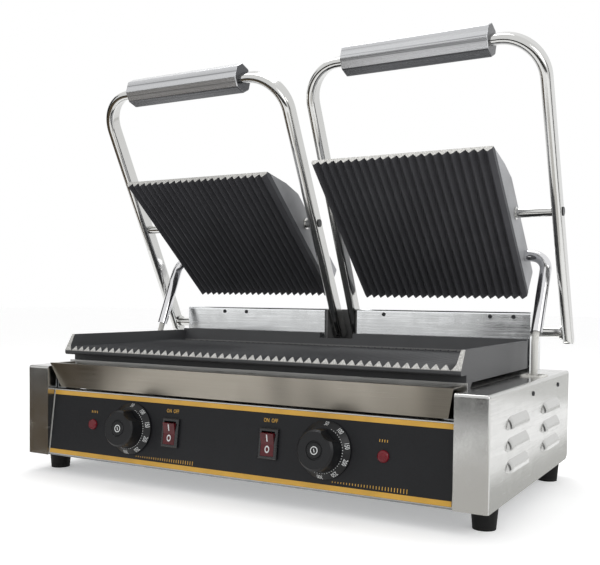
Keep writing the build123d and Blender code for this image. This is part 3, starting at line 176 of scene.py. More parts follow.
def node(tree, kind, inputs=None, **settings):
    """Adds one node: its settings, and a value or another node's output for each named input."""
    made = tree.nodes.new(kind)
    for key, value in settings.items():
        setattr(made, key, value)
    for key, value in (inputs or {}).items():
        if isinstance(value, bpy.types.NodeSocket):
            tree.links.new(value, made.inputs[key])
        else:
            made.inputs[key].default_value = value
    return made


def finish_of(name):
    """A new material with its shader and the object's own coordinates."""
    material = bpy.data.materials.new(name)
    material.use_nodes = True
    tree = material.node_tree
    shader = tree.nodes["Principled BSDF"]
    place = node(tree, "ShaderNodeTexCoord").outputs["Object"]
    return material, tree, shader, place


def shade(tree, shader, **inputs):
    """Sets or links the shader's inputs; an underscore stands for a space."""
    for key, value in inputs.items():
        socket = shader.inputs[key.replace("_", " ")]
        if isinstance(value, bpy.types.NodeSocket):
            tree.links.new(value, socket)
        else:
            socket.default_value = value


def four(rgb, factor=1.0):
    return (rgb[0] * factor, rgb[1] * factor, rgb[2] * factor, 1.0)


def noise(tree, place, scale, detail=2.0, stretch=(1, 1, 1), roughness=0.5):
    """Noise with features of about one over the scale, drawn out along the axes with small stretch."""
    spot = node(tree, "ShaderNodeMapping", {"Vector": place, "Scale": stretch}).outputs["Vector"]
    return node(tree, "ShaderNodeTexNoise", {
        "Vector": spot, "Scale": scale, "Detail": detail, "Roughness": roughness}).outputs["Fac"]


def between(tree, value, low, high, start=0.0, end=1.0):
    """A number moved from one range to another, held at its ends."""
    return node(tree, "ShaderNodeMapRange", {
        "Value": value, "From Min": low, "From Max": high, "To Min": start, "To Max": end},
    ).outputs["Result"]


def mixed(tree, share, first, second, blend_type="MIX"):
    """Two colours mixed by a share."""
    made = node(tree, "ShaderNodeMix", data_type="RGBA", blend_type=blend_type)
    for socket, value in ((made.inputs["Factor"], share), (made.inputs[6], first), (made.inputs[7], second)):
        if isinstance(value, bpy.types.NodeSocket):
            tree.links.new(value, socket)
        else:
            socket.default_value = value
    return made.outputs[2]


def sums(tree, operation, first, second=0.0):
    return node(tree, "ShaderNodeMath", {0: first, 1: second}, operation=operation).outputs[0]


def bumped(tree, height, depth, strength):
    """A surface normal raised by a height, of which one is the depth."""
    return node(tree, "ShaderNodeBump", {
        "Height": height, "Distance": depth, "Strength": strength}).outputs["Normal"]


def brushed_sheet(name, rgb, roughness, along, smudge):
    """Brushed stainless sheet: fine lines one way that draw the mirror out, faint clouding from handling."""
    material, tree, shader, place = finish_of(name)
    step = sizes().brush_step
    stretch = {"X": (0.02, 1, 1), "Y": (1, 0.02, 1), "Z": (1, 1, 0.02)}[along]
    lines = noise(tree, place, 1 / step, 3.0, stretch, 0.7)
    clouds = noise(tree, place, 9.0, 3.0)
    spots = noise(tree, place, 55.0, 4.0)
    base = mixed(tree, between(tree, lines, 0.3, 0.7, 0.0, 0.3), four(rgb), four(rgb, 0.92))
    base = mixed(tree, between(tree, clouds, 0.35, 0.75, 0.0, smudge), base, four(rgb, 0.6))
    rough = sums(tree, "ADD", between(tree, lines, 0.3, 0.7, roughness - 0.05, roughness + 0.08),
                 between(tree, spots, 0.45, 0.75, 0.0, 0.07))
    shade(tree, shader, Base_Color=base, Metallic=1.0, Roughness=rough,
          Normal=bumped(tree, lines, 0.01 * MM, 0.2))
    return material


def drawer_sheet(name, rgb):
    """Brushed stainless of the drawer: a darker warm grey than the body's sheet, with soft dark patches; both
    the darker grey and the patches are painted reflection of the dim, shaded floor and surroundings in front
    of it.
    """
    material, tree, shader, place = finish_of(name)
    lines = noise(tree, place, 1 / sizes().brush_step, 3.0, (0.02, 1, 1), 0.7)
    clouds = noise(tree, place, 13.0, 1.0, (1, 0.2, 0.35))
    # Soft dark patches: painted reflection, not heat or fat stains
    base = mixed(tree, between(tree, clouds, 0.5, 0.68, 0.0, 0.75), four(rgb, 1.25), four(rgb, 0.45))
    base = mixed(tree, between(tree, lines, 0.3, 0.7, 0.0, 0.25), base, four(rgb, 1.1))
    shade(tree, shader, Base_Color=base, Metallic=1.0,
          Roughness=between(tree, lines, 0.3, 0.7, 0.27, 0.38), Normal=bumped(tree, lines, 0.02 * MM, 0.3))
    return material


def polished_tube(name, rgb, roughness):
    """Polished stainless tube: sharp reflections, faint draw lines and handling marks."""
    material, tree, shader, place = finish_of(name)
    clouds = noise(tree, place, 30.0, 3.0)
    fine = noise(tree, place, 420.0, 2.0)
    base = mixed(tree, between(tree, clouds, 0.4, 0.7, 0.0, 0.15), four(rgb), four(rgb, 0.85))
    shade(tree, shader, Base_Color=base, Metallic=1.0,
          Roughness=sums(tree, "ADD", between(tree, clouds, 0.35, 0.75, roughness - 0.03, roughness + 0.05),
                         between(tree, fine, 0.4, 0.8, 0.0, 0.02)),
          Normal=bumped(tree, fine, 0.004 * MM, 0.12))
    return material


def plain_metal(name, rgb, roughness, metallic=1.0):
    """Plated or oxidised metal with a fine mottle."""
    material, tree, shader, place = finish_of(name)
    mottle = noise(tree, place, 160.0, 4.0)
    base = mixed(tree, between(tree, mottle, 0.35, 0.7), four(rgb), four(rgb, 0.75))
    shade(tree, shader, Base_Color=base, Metallic=metallic,
          Roughness=between(tree, mottle, 0.3, 0.7, roughness - 0.06, roughness + 0.1),
          Normal=bumped(tree, mottle, 0.04 * MM, 0.4))
    return material


def plane_distance(tree, place, normal, point):
    """Distance of a point of the surface from a plane."""
    shifted = node(tree, "ShaderNodeVectorMath", {0: place, 1: point}, operation="SUBTRACT").outputs[0]
    away = node(tree, "ShaderNodeVectorMath", {0: shifted, 1: normal}, operation="DOT_PRODUCT")
    return sums(tree, "ABSOLUTE", away.outputs["Value"])


def facing_axes(tree):
    """How far the surface faces along X, Y and Z."""
    return node(tree, "ShaderNodeSeparateXYZ", {
        0: node(tree, "ShaderNodeNewGeometry").outputs["Normal"]}).outputs


def cast_plate(name, rgb, side_sheen_rgb, cuts, rough, gloss):
    """Cast iron with a baked black coating, its milled ends bare and bright. Fine grain, soft sheen. Faces
    that look along X take a separate lighter side colour, which is painted sheen.
    """
    material, tree, shader, place = finish_of(name)
    grain = noise(tree, place, 1 / sizes().cast_grain, 4.0)
    patches = noise(tree, place, 26.0, 3.0)
    # Faces that look along X: painted sheen
    sides = between(tree, sums(tree, "ABSOLUTE", facing_axes(tree)["X"]), 0.93, 0.99)
    base = mixed(tree, between(tree, patches, 0.35, 0.75, 0.0, 0.5), four(rgb), four(rgb, 1.35))
    base = mixed(tree, sides, base, four(side_sheen_rgb))
    bare = None
    for normal, point, width, share in cuts:
        near = between(tree, plane_distance(tree, place, normal, point), width, width * 1.6, share, 0.0)
        bare = near if bare is None else sums(tree, "MAXIMUM", bare, near)
    mill = noise(tree, place, 900.0, 2.0, (1, 1, 0.2))
    bright = mixed(tree, between(tree, mill, 0.3, 0.7), four(tints().machined), four(tints().machined, 0.55))
    base = mixed(tree, bare, base, bright)
    shade(tree, shader, Base_Color=base, Metallic=sums(tree, "MULTIPLY", bare, 0.5),
          Roughness=between(tree, grain, 0.3, 0.7, rough - 0.06, rough + 0.08), Specular_IOR_Level=gloss,
          Normal=bumped(tree, grain, 0.08 * MM, 0.5))
    return material


def hammered_paint(name, rgb):
    """Grey hammertone paint on the upper covers: small dimples, satin."""
    material, tree, shader, place = finish_of(name)
    cells = node(tree, "ShaderNodeTexVoronoi", {"Vector": place, "Scale": 420.0}).outputs["Distance"]
    patches = noise(tree, place, 18.0, 3.0)
    base = mixed(tree, between(tree, patches, 0.35, 0.7), four(rgb), four(rgb, 0.72))
    shade(tree, shader, Base_Color=base, Metallic=0.3,
          Roughness=between(tree, cells, 0.0, 0.6, 0.36, 0.48), Normal=bumped(tree, cells, 0.05 * MM, 0.25))
    return material


def lacquered_grip(name, rgb, dark):
    """Metal-effect lacquer on the moulded grips: bright facets with thin dark lines drawn along them.

    The ends and the facets that face down are darkened, in place of the dark room they mirror.
    """
    material, tree, shader, place = finish_of(name)
    streaks = noise(tree, place, 420.0, 2.0, (0.004, 1, 1), 0.6)
    wide = noise(tree, place, 90.0, 1.0, (0.01, 1, 1))
    base = mixed(tree, between(tree, streaks, 0.55, 0.7, 0.0, 0.6), four(rgb), four(dark))
    base = mixed(tree, between(tree, wide, 0.5, 0.75, 0.0, 0.25), base, four(dark))
    facing = facing_axes(tree)
    # Ends, facing along X, and facets facing down take the dark colour: painted shade and reflection, set by
    # the way they face
    base = mixed(tree, between(tree, sums(tree, "ABSOLUTE", facing["X"]), 0.85, 0.95), base, four(dark))
    base = mixed(tree, between(tree, facing["Z"], -0.6, -0.45, 0.9, 0.0), base, four(dark, 0.7))
    shade(tree, shader, Base_Color=base, Metallic=0.65,
          Roughness=between(tree, streaks, 0.3, 0.7, 0.22, 0.32),
          Normal=bumped(tree, streaks, 0.02 * MM, 0.25))
    return material


def moulded(name, rgb, roughness, gloss=0.5, coat=0.0, grain=300.0, depth=0.03):
    """Injection-moulded plastic or rubber with a fine spark-eroded texture."""
    material, tree, shader, place = finish_of(name)
    fine = noise(tree, place, grain, 3.0)
    patches = noise(tree, place, 40.0, 2.0)
    base = mixed(tree, between(tree, patches, 0.35, 0.75, 0.0, 0.5), four(rgb), four(rgb, 1.35))
    shade(tree, shader, Base_Color=base, Specular_IOR_Level=gloss, Coat_Weight=coat, Coat_Roughness=0.12,
          Roughness=between(tree, fine, 0.3, 0.7, roughness - 0.05, roughness + 0.08),
          Normal=bumped(tree, fine, depth * MM, 0.35))
    return material


def clear_red(name, rgb, glow):
    """Red see-through plastic with a faint painted glow: emission that stands in for light passing through
    its body.
    """
    material, tree, shader, place = finish_of(name)
    depth = noise(tree, place, 120.0, 2.0)
    base = mixed(tree, between(tree, depth, 0.3, 0.7), four(rgb), four(rgb, 0.7))
    shade(tree, shader, Base_Color=base, Roughness=0.22, Specular_IOR_Level=0.4,
          Emission_Color=four(rgb), Emission_Strength=glow, Normal=bumped(tree, depth, 0.02 * MM, 0.2))
    return material


def braided_sleeve(name, rgb):
    """White woven glass-fibre sleeve over the heater leads."""
    material, tree, shader, place = finish_of(name)
    turn = node(tree, "ShaderNodeMapping", {"Vector": place, "Rotation": (0, math.radians(45), 0)})
    weave = node(tree, "ShaderNodeTexChecker", {
        "Vector": turn.outputs["Vector"], "Scale": 700.0}).outputs["Fac"]
    base = mixed(tree, between(tree, weave, 0.0, 1.0), four(rgb), four(rgb, 0.8))
    shade(tree, shader, Base_Color=base, Roughness=0.75, Normal=bumped(tree, weave, 0.1 * MM, 0.4))
    return material


# Shapes


def dress(material, *names):
    """Gives solids that keep their own mesh a finish."""
    for name in names:
        for place in frame["nodes"][name].material_slots:
            place.material = material


def both(name):
    return ["left_" + name, "right_" + name]


def new_piece(name, mesh, body, material):
    """A finished piece at the origin, riding on a body."""
    piece = bpy.data.objects.new(name, mesh)
    bpy.context.scene.collection.objects.link(piece)
    mesh.materials.clear()
    mesh.materials.append(material)
    for face in mesh.polygons:
        face.material_index = 0
    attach(piece, body)
    return piece


def on_panel(x, up, out, turn=0.0):
    """Place on the leaning panel: across, up and out of it, turned about its normal."""
    origin = panel_origin + Vector((x, 0, 0)) + panel_up * up + panel_out * out
    axes = Matrix((Vector((1, 0, 0)), panel_up, panel_out)).transposed().to_4x4()
    return Matrix.Translation(origin) @ axes @ Matrix.Rotation(turn, 4, "Z")


def words_mesh(text, height, squeeze):
    """Mesh of a short text, its middle at the origin, capitals of the given height."""
    curve = bpy.data.curves.new("words", "FONT")
    curve.body = text
    curve.align_x = "CENTER"
    curve.align_y = "CENTER"
    curve.size = height * 1.44
    curve.extrude = print_thickness / 2
    curve.resolution_u = 3
    holder = bpy.data.objects.new("words", curve)
    bpy.context.scene.collection.objects.link(holder)
    bpy.context.view_layer.update()
    mesh = bpy.data.meshes.new_from_object(holder.evaluated_get(bpy.context.evaluated_depsgraph_get()))
    bpy.data.objects.remove(holder)
    bpy.data.curves.remove(curve)
    mesh.transform(Matrix.Diagonal((squeeze, 1, 1, 1)))
    return mesh


def joined(meshes):
    """One mesh of several."""
    points, faces = [], []
    for mesh in meshes:
        start = len(points)
        points += [vertex.co.copy() for vertex in mesh.vertices]
        faces += [[start + index for index in face.vertices] for face in mesh.polygons]
    whole = bpy.data.meshes.new("joined")
    whole.from_pydata(points, [], faces)
    whole.update()
    return whole


def lay_on(mesh, node_name, direction):
    """Moves each point of a flat mark along a direction onto a solid's surface, a little above it."""
    source = frame["nodes"][node_name].data
    tree = BVHTree.FromPolygons([v.co for v in source.vertices], [p.vertices for p in source.polygons])
    for vertex in mesh.vertices:
        depth = (vertex.co - panel_origin).dot(panel_out)
        start = vertex.co + direction * mark_reach
        hit = tree.ray_cast(start, -direction, 2 * mark_reach)[0]
        if hit is None:
            raise RuntimeError("a mark misses " + node_name)
        vertex.co = hit + direction * (mark_lift + (depth - foil_top))
    return mesh


def ring_mesh(radius, width, sides=40):
    """Flat printed ring."""
    points, faces = [], []
    for level in (-print_thickness / 2, print_thickness / 2):
        for edge in (radius - width / 2, radius + width / 2):
            for index in range(sides):
                angle = 2 * math.pi * index / sides
                points.append((edge * math.cos(angle), edge * math.sin(angle), level))
    inner_low, outer_low, inner_high, outer_high = (k * sides for k in range(4))
    for index in range(sides):
        following = (index + 1) % sides
        for a, b in ((inner_high, outer_high), (outer_low, inner_low), (outer_high, outer_low),
                     (inner_low, inner_high)):
            faces.append((a + index, b + index, b + following, a + following))
    mesh = bpy.data.meshes.new("ring")
    mesh.from_pydata(points, [], faces)
    mesh.update()
    return mesh


def stroke_mesh(width, height):
    """Printed upright stroke, its middle at the origin."""
    points = [(x, y, z) for z in (-print_thickness / 2, print_thickness / 2)
              for y in (-height / 2, height / 2) for x in (-width / 2, width / 2)]
    faces = [(0, 2, 3, 1), (4, 5, 7, 6), (0, 1, 5, 4), (2, 6, 7, 3), (0, 4, 6, 2), (1, 3, 7, 5)]
    mesh = bpy.data.meshes.new("stroke")
    mesh.from_pydata(points, [], faces)
    mesh.update()
    return mesh


# Trees of geometry nodes


def new_tree(name, inputs):
    """An empty tree with named inputs and one geometry output."""
    tree = bpy.data.node_groups.new(name, "GeometryNodeTree")
    for label, kind, value in inputs:
        socket = tree.interface.new_socket(name=label, in_out="INPUT", socket_type=kind)
        if value is not None:
            socket.default_value = value
    tree.interface.new_socket(name="Geometry", in_out="OUTPUT", socket_type="NodeSocketGeometry")
    return tree, node(tree, "NodeGroupInput").outputs


def grown(tree, name):
    """The plain mesh that a tree makes."""
    holder = bpy.data.objects.new(name, bpy.data.meshes.new(name))
    bpy.context.scene.collection.objects.link(holder)
    modifier = holder.modifiers.new("shape", "NODES")
    modifier.node_group = tree
    bpy.context.view_layer.update()
    mesh = bpy.data.meshes.new_from_object(holder.evaluated_get(bpy.context.evaluated_depsgraph_get()))
    bpy.data.objects.remove(holder)
    return mesh


def end_tree(tree, geometry, material):
    """Real geometry in one material, out of the tree."""
    real = node(tree, "GeometryNodeRealizeInstances", {"Geometry": geometry}).outputs[0]
    done = node(tree, "GeometryNodeSetMaterial", {"Geometry": real, "Material": material}).outputs[0]
    node(tree, "NodeGroupOutput", {"Geometry": done})


def dots_mesh(material, count, radius, start, sweep, width):
    """Dots along an arc, start and sweep in degrees from the right, the other way round than a clock."""
    tree, given = new_tree("dial_dots", [
        ("Count", "NodeSocketInt", count), ("Radius", "NodeSocketFloat", radius),
        ("Start", "NodeSocketFloat", math.radians(start)), ("Sweep", "NodeSocketFloat", math.radians(sweep)),
        ("Width", "NodeSocketFloat", width)])
    arc = node(tree, "GeometryNodeCurveArc", {
        "Resolution": given["Count"], "Radius": given["Radius"],
        "Start Angle": given["Start"], "Sweep Angle": given["Sweep"]}).outputs["Curve"]
    points = node(tree, "GeometryNodeCurveToPoints", {"Curve": arc}, mode="EVALUATED").outputs["Points"]
    dot = node(tree, "GeometryNodeMeshCylinder", {
        "Vertices": 10, "Radius": sums(tree, "MULTIPLY", given["Width"], 0.5), "Depth": print_thickness})
    placed = node(tree, "GeometryNodeInstanceOnPoints", {"Points": points, "Instance": dot.outputs["Mesh"]})
    end_tree(tree, placed.outputs["Instances"], material)
    return grown(tree, "dial_dots")


def ticks_mesh(material, count, length, shortest, tallest, width):
    """Row of upright strokes that grow from left to right."""
    tree, given = new_tree("rising_ticks", [
        ("Count", "NodeSocketInt", count), ("Length", "NodeSocketFloat", length),
        ("Shortest", "NodeSocketFloat", shortest), ("Tallest", "NodeSocketFloat", tallest),
        ("Width", "NodeSocketFloat", width)])
    half = sums(tree, "MULTIPLY", given["Length"], 0.5)
    start = node(tree, "ShaderNodeCombineXYZ", {"X": sums(tree, "MULTIPLY", half, -1.0)}).outputs[0]
    end = node(tree, "ShaderNodeCombineXYZ", {"X": half}).outputs[0]
    row = node(tree, "GeometryNodeMeshLine", {
        "Count": given["Count"], "Start Location": start, "Offset": end}, mode="END_POINTS").outputs["Mesh"]
    index = node(tree, "GeometryNodeInputIndex").outputs[0]
    share = sums(tree, "DIVIDE", index, sums(tree, "SUBTRACT", given["Count"], 1.0))
    tall = node(tree, "ShaderNodeMapRange", {
        "Value": share, "To Min": given["Shortest"], "To Max": given["Tallest"]}).outputs["Result"]
    stroke = node(tree, "GeometryNodeMeshCube", {"Size": (1, 1, print_thickness)}).outputs["Mesh"]
    scale = node(tree, "ShaderNodeCombineXYZ", {"X": given["Width"], "Y": tall, "Z": 1.0}).outputs[0]
    placed = node(tree, "GeometryNodeInstanceOnPoints", {
        "Points": row, "Instance": stroke, "Scale": scale}).outputs["Instances"]
    end_tree(tree, placed, material)
    return grown(tree, "rising_ticks")


# Operators


class GRILL_OT_body(Operator):
    """Sheets of the body, the drawer and what is inside"""
    bl_idname = "grill.body"
    bl_label = "Body sheets"

    def execute(self, context):
        rgb = tints()
        sheet_y = brushed_sheet("brushed_stainless_sides", rgb.sheet, 0.17, "Y", 0.04)
        sheet_x = brushed_sheet("brushed_stainless_deck", rgb.sheet, 0.3, "X", 0.1)
        zinc = plain_metal("zinc_plated_steel", rgb.zinc, 0.4)
        dress(sheet_y, *both("side_pan"))
        dress(sheet_x, "top_deck", "front_panel")
        # The hinge covers' near-white colour is partly painted light
        dress(brushed_sheet("stainless_covers_painted_light", rgb.cover_steel_painted_light, 0.17, "X", 0.02),
              *both("hinge_cover"))
        # The drawer's grey and patches are painted reflection
        dress(drawer_sheet("stainless_drawer_painted_reflection", rgb.tray), "grease_tray")
        dress(zinc, "base_pan", "rear_panel", "lower_heat_shield", "heater_clamp_bars", "hinge_bearings",
              "tray_rails", "foot_screws", "thermostats", *both("knob_spindle"))
        # Screws darkened: painted shade of their recesses
        dress(plain_metal("dark_screws_painted_shade", rgb.screw, 0.45), "body_screws")
        # The bracket's grey is painted light over black paint
        dress(plain_metal("black_painted_steel", rgb.bracket, 0.4, 0.2), "centre_bracket")
        dress(plain_metal("oxidised_heater_steel", rgb.zinc, 0.5), "lower_heating_elements",
              "lid_springs", *both("upper_heater"))
        dress(moulded("rubber_feet", rgb.rubber, 0.65, 0.25), "rubber_feet")
        white = moulded("white_nylon", rgb.white_plastic, 0.4)
        dress(white, "terminal_block", "deck_bushings", "lead_clips")
        dress(moulded("black_nylon_gland", rgb.knob, 0.4), "cord_gland")
        dress(braided_sleeve("glass_sleeve", rgb.white_plastic), *both("heater_lead"))
        for side in ("left", "right"):
            lead = frame["nodes"][side + "_heater_lead"]
            copy = new_piece(side + "_lead_sleeve", lead.data.copy(), "base",
                             bpy.data.materials["glass_sleeve"])
            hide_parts(side + "_heater_lead")
            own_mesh(copy)
        return {"FINISHED"}


class GRILL_OT_plates(Operator):
    """Cast plates and the covers over the upper ones"""
    bl_idname = "grill.plates"
    bl_label = "Plates and covers"

    def execute(self, context):
        rgb = tints()
        low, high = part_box("lower_grill_plate")
        slope = Vector((0, -18.5, 11.5)).normalized()
        foot = Vector((0, low.y, 146.5 * MM))
        # The second band is a faint bright line along the foot of the rear wall
        wall_slope = Vector((0, -5.0, 3.0)).normalized()
        wall_foot = Vector((0, high.y - 11.0 * MM, 146.0 * MM))
        dress(cast_plate("coated_cast_iron_lower", rgb.iron_low, rgb.lower_side_painted_sheen, [
            (slope, foot, 0.3 * MM, 1.0), (wall_slope, wall_foot, 0.25 * MM, 0.2),
        ], 0.44, 0.5), "lower_grill_plate")
        for side in ("left", "right"):
            out, point = self.milled_end(side)
            dress(cast_plate("coated_cast_iron_" + side, rgb.iron, rgb.upper_side_painted_sheen, [
                (out, point, 0.3 * MM, 1.0),
            ], 0.55, 0.1), side + "_upper_plate")
        dress(hammered_paint("hammertone_grey", rgb.cover), *both("upper_cover"))
        return {"FINISHED"}

    def milled_end(self, side):
        """The plane of an upper plate's milled front end: its outward direction and a point on it."""
        tilt = math.radians(plate_tilts[side])
        pivot = Vector(joints[side + "_upper_tilt"]["pos_m"])
        out = Vector((0, -math.cos(tilt), math.sin(tilt)))
        down = Vector((0, -math.sin(tilt), -math.cos(tilt)))
        return out, pivot + out * pivot_from_front + down * pivot_height


class GRILL_OT_bows(Operator):
    """Bows, grips, shafts and conduits"""
    bl_idname = "grill.bows"
    bl_label = "Bows and conduits"

    def execute(self, context):
        rgb = tints()
        tube = polished_tube("polished_stainless_tube", rgb.tube, 0.13)
        dress(tube, *both("handle_bow"), *both("cross_shaft"), *both("hinge_shaft"), *both("pivot_bushes"))
        dress(polished_tube("chrome_plated_tube", rgb.chrome, 0.07), *both("conduit"))
        dress(lacquered_grip("metal_effect_lacquer", rgb.grip, rgb.grip_streaks_and_painted_shade), *both("grip_upper_half"),
              *both("grip_lower_half"))
        dress(moulded("black_plug", rgb.knob, 0.35), *both("bow_plugs"))
        return {"FINISHED"}


class GRILL_OT_controls(Operator):
    """Knobs with their dials, rockers and lamps"""
    bl_idname = "grill.controls"
    bl_label = "Controls"

    def execute(self, context):
        rgb, marks = tints(), sizes()
        white = moulded("white_print", rgb.print_white, 0.5, 0.3, 0.0, 300.0, 0.0)
        dress(moulded("knob_bakelite", rgb.knob, 0.38, 0.3, 0.05), *both("knob"))
        dress(moulded("bezel_nylon", rgb.knob, 0.25, 0.5, 0.3), "switch_housings")
        # The rockers' and lenses' glow is painted light
        dress(clear_red("clear_red_rocker", rgb.rocker, 0.08), *both("rocker"))
        dress(clear_red("clear_red_lens", rgb.lamp, 0.15), "lamp_lenses")
        for side, x in (("left", left_knob_x), ("right", right_knob_x)):
            self.dial(side, x, white, marks)
        for side, x in (("left", left_switch_x), ("right", right_switch_x)):
            self.rocker_signs(side, x, white, marks)
        return {"FINISHED"}

    def dial(self, side, x, white, marks):
        """Dots, figures and the ring on one knob."""
        parts = []
        dots = dots_mesh(white, marks.dial_dots, dial_dots_radius, dial_dots_start, dial_dots_sweep,
                         marks.dial_dot)
        dots.transform(on_panel(x, 0, foil_top))
        parts.append(dots)
        for index, text in enumerate(("50", "100", "150", "200", "250", "300")):
            turn = math.radians(first_figure_turn - index * figure_step)
            figure = words_mesh(text, marks.dial_figure, squeeze=0.85)
            figure.transform(on_panel(x, 0, foil_top, turn) @ Matrix.Translation((0, dial_figures_radius, 0)))
            parts.append(figure)
        ring = ring_mesh(3.6 * MM, 0.9 * MM)
        ring.transform(on_panel(x, 0, foil_top))
        stroke = stroke_mesh(0.9 * MM, 3.4 * MM)
        stroke.transform(on_panel(x, 0, foil_top, hub_stroke_turn))
        parts += [ring, stroke]
        mesh = lay_on(joined(parts), side + "_knob", panel_out)
        new_piece(side + "_dial_marks", mesh, side + "_knob", white)

    def rocker_signs(self, side, x, white, marks):
        """The stroke and the ring on one rocker."""
        stroke = stroke_mesh(1.3 * MM, marks.switch_sign)
        stroke.transform(on_panel(x, rocker_stroke_up, foil_top))
        ring = ring_mesh(2.6 * MM, 1.2 * MM)
        ring.transform(Matrix.Diagonal((0.85, 1.15, 1, 1)))
        ring.transform(on_panel(x, -rocker_ring_down, foil_top))
        mesh = lay_on(joined([stroke, ring]), side + "_rocker", panel_out)
        new_piece(side + "_rocker_signs", mesh, side + "_rocker", white)


class GRILL_OT_panel_print(Operator):
    """Foil of the panel with its gold stripes and signs"""
    bl_idname = "grill.panel_print"
    bl_label = "Panel print"

    def execute(self, context):
        rgb = tints()
        gold = moulded("gold_print", rgb.gold, 0.35, 0.5, 0.2, 200.0, 0.0)
        dress(moulded("black_foil", rgb.foil, 0.5, 0.3, 0.0, 500.0, 0.01), "panel_overlay")
        dress(gold, "overlay_stripes")
        signs = []
        level = foil_top + print_thickness / 2
        for x in (left_knob_x, right_knob_x):
            ticks = ticks_mesh(gold, 26, 78 * MM, 1.2 * MM, 4.4 * MM, 0.7 * MM)
            ticks.transform(on_panel(x + caption_across, -caption_down, level))
            signs.append(ticks)
        lens_low, lens_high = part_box("lamp_lenses")
        lens_radius = (lens_high.z - lens_low.z) / 2
        for x in (lens_low.x + lens_radius, lens_high.x - lens_radius):
            strokes = ticks_mesh(gold, 4, 8 * MM, 2.6 * MM, 2.6 * MM, 0.7 * MM)
            strokes.transform(on_panel(x, lamp_sign_up, level))
            signs.append(strokes)
        for x in (left_switch_x, right_switch_x):
            text = words_mesh("ON  OFF", 4.0 * MM, squeeze=0.75)
            text.transform(on_panel(x, switch_sign_up, level))
            signs.append(text)
        new_piece("panel_signs", joined(signs), "base", gold)
        return {"FINISHED"}


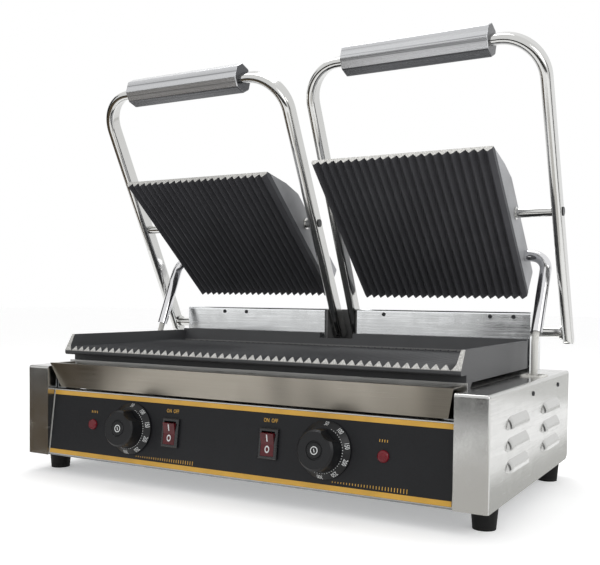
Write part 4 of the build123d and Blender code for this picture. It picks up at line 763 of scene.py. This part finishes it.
class GRILL_OT_stage(Operator):
    """Floor, cards, light and camera"""
    bl_idname = "grill.stage"
    bl_label = "Stage"

    def execute(self, context):
        self.floor()
        self.light()
        self.camera(context)
        return {"FINISHED"}

    def plane(self, name, corners, material):
        mesh = bpy.data.meshes.new(name)
        mesh.from_pydata(corners, [], [(0, 1, 2, 3)])
        mesh.update()
        thing = bpy.data.objects.new(name, mesh)
        mesh.materials.append(material)
        bpy.context.scene.collection.objects.link(thing)
        return thing

    def card(self, name, corners, grey):
        """A grey card that only mirrors see, as a photographer sets up round the object; some stand in for
        the object's shadow on the floor as mirrors see it (painted shadow).
        """
        material = bpy.data.materials.new(name)
        material.use_nodes = True
        tree = material.node_tree
        tree.nodes.remove(tree.nodes["Principled BSDF"])
        glow = node(tree, "ShaderNodeEmission", {"Color": (*grey, 1.0), "Strength": 1.0})
        tree.links.new(glow.outputs[0], tree.nodes["Material Output"].inputs["Surface"])
        card = self.plane(name, corners, material)
        card.visible_camera = False
        card.visible_shadow = False
        card.visible_diffuse = False

    def lying_card(self, name, x0, x1, y0, y1, grey):
        """A card just above the floor."""
        lift = 0.002
        self.card(name, [(x0, y0, lift), (x1, y0, lift), (x1, y1, lift), (x0, y1, lift)], grey)

    def standing_card(self, name, start, end, height, grey):
        """A card that stands on the floor between two points."""
        self.card(name, [(*start, 0), (*end, 0), (*end, height), (*start, height)], grey)

    def floor(self):
        """White paper: it keeps the shadow, and is lifted to white only for rays that see it."""
        material, tree, shader, place = finish_of("white_paper_floor")
        shade(tree, shader, Base_Color=(0.93, 0.93, 0.93, 1), Roughness=0.9, Specular_IOR_Level=0.1,
              Emission_Color=(1, 1, 1, 1), Emission_Strength=sums(tree, "MULTIPLY", self.seen(tree), 0.3))
        reach = 12.0
        self.plane("floor", [(-reach, -reach, 0), (reach, -reach, 0), (reach, reach, 0), (-reach, reach, 0)],
                   material)
        self.lying_card("dark_table_front", -4, 4, -3.4, -0.8, linear("3C3B38"))
        self.lying_card("brown_table_left", -4, -0.31, -0.8, -0.2, linear("5E5344"))
        # Painted shadow: the grill's contact shadow in front of it, as the drawer and right column mirror it
        self.lying_card("painted_shadow_front", 0.13, 0.7, -0.55, -0.16, linear("DCDAD6"))
        self.standing_card("dark_stand_front", (-0.36, -1.6), (0.05, -1.6), 0.24, linear("2A2A2A"))
        self.lying_card("grey_paper_right", 0.38, 3, 0.9, 3, linear("E2E2E0"))
        # Painted shadow: the grill's shadow beside its right foot, as the side sheet mirrors it
        self.lying_card("painted_shadow_beside_foot", 0.29, 0.355, -0.12, 0.7, linear("CECECB"))
        self.standing_card("left_flag", (-1.5, -0.7), (-1.5, 0.2), 1.2, linear("2A2A2A"))
        self.standing_card("right_flag", (1.7, 0.9), (1.7, 0.35), 1.2, linear("2A2A2A"))

    def seen(self, tree):
        """One for rays that come from the camera, a mirror or a clear piece, else nothing."""
        path = node(tree, "ShaderNodeLightPath")
        seen = sums(tree, "MAXIMUM", path.outputs["Is Camera Ray"], path.outputs["Is Glossy Ray"])
        return sums(tree, "MAXIMUM", seen, path.outputs["Is Transmission Ray"])

    def light(self):
        world = bpy.data.worlds.new("studio")
        bpy.context.scene.world = world
        world.use_nodes = True
        tree = world.node_tree
        background = tree.nodes["Background"]
        strength = between(tree, self.seen(tree), 0.0, 1.0, 0.72, 1.0)
        tree.links.new(strength, background.inputs["Strength"])
        background.inputs["Color"].default_value = (1, 1, 1, 1)
        self.lamp("top_softbox", (-0.25, 0.35, 1.5), (0.0, 0.0, 0.2), 1.0, 0.7, 9.0)
        self.lamp("right_softbox", (1.6, -0.6, 1.0), (0.1, 0.0, 0.15), 0.9, 0.9, 6.0)

    def lamp(self, name, spot, aim, wide, deep, power):
        data = bpy.data.lights.new(name, "AREA")
        data.shape = "RECTANGLE"
        data.size = wide
        data.size_y = deep
        data.energy = power
        thing = bpy.data.objects.new(name, data)
        bpy.context.scene.collection.objects.link(thing)
        thing.location = spot
        thing.rotation_euler = (Vector(aim) - Vector(spot)).to_track_quat("-Z", "Y").to_euler()

    def camera(self, context):
        """The photograph's viewpoint: 29 degrees round to the right, 21 cm above the table."""
        data = bpy.data.cameras.new("camera")
        thing = bpy.data.objects.new("camera", data)
        context.scene.collection.objects.link(thing)
        yaw, pitch, roll = math.radians(29.23), math.radians(1.83), math.radians(0.64)
        ahead = Vector((-math.sin(yaw) * math.cos(pitch), math.cos(yaw) * math.cos(pitch), -math.sin(pitch)))
        right = ahead.cross(Vector((0, 0, 1))).normalized()
        up = right.cross(ahead)
        right, up = (math.cos(roll) * right + math.sin(roll) * up,
                     math.cos(roll) * up - math.sin(roll) * right)
        axes = Matrix((right, up, -ahead)).transposed().to_4x4()
        thing.matrix_world = Matrix.Translation((0.49876, -0.867182, 0.2101)) @ axes
        # Focal length and middle of the fitted photograph, in pixels of its 600 by 565
        focal, middle_x, middle_y = 830.93, 307.93, 326.33
        data.sensor_width = 36.0
        data.lens = focal * data.sensor_width / 600
        data.shift_x = (300 - middle_x) / 600
        data.shift_y = (middle_y - 282.5) / 600
        data.clip_start = 0.01
        context.scene.camera = thing
        context.scene.view_settings.view_transform = "Standard"


class GRILL_PT_panel(Panel):
    """Lists the grill's operators"""
    bl_idname = "GRILL_PT_panel"
    bl_label = "Contact grill"
    bl_space_type = "VIEW_3D"
    bl_region_type = "UI"
    bl_category = "Grill"

    def draw(self, context):
        for operator in OPERATORS:
            self.layout.operator(operator.bl_idname)
        for group in (context.scene.grill_colours, context.scene.grill_sizes):
            for name in type(group).__annotations__:
                self.layout.prop(group, name)


OPERATORS = (GRILL_OT_stage, GRILL_OT_body, GRILL_OT_plates, GRILL_OT_bows, GRILL_OT_controls,
             GRILL_OT_panel_print)
CLASSES = (GrillColours, GrillSizes, *OPERATORS, GRILL_PT_panel)


def register():
    for item in CLASSES:
        bpy.utils.register_class(item)
    bpy.types.Scene.grill_colours = PointerProperty(type=GrillColours)
    bpy.types.Scene.grill_sizes = PointerProperty(type=GrillSizes)


def unregister():
    del bpy.types.Scene.grill_sizes
    del bpy.types.Scene.grill_colours
    for item in reversed(CLASSES):
        bpy.utils.unregister_class(item)


def main():
    register()
    for operator in OPERATORS:
        group, name = operator.bl_idname.split(".")
        getattr(getattr(bpy.ops, group), name)()


if __name__ == "__main__":
    main()
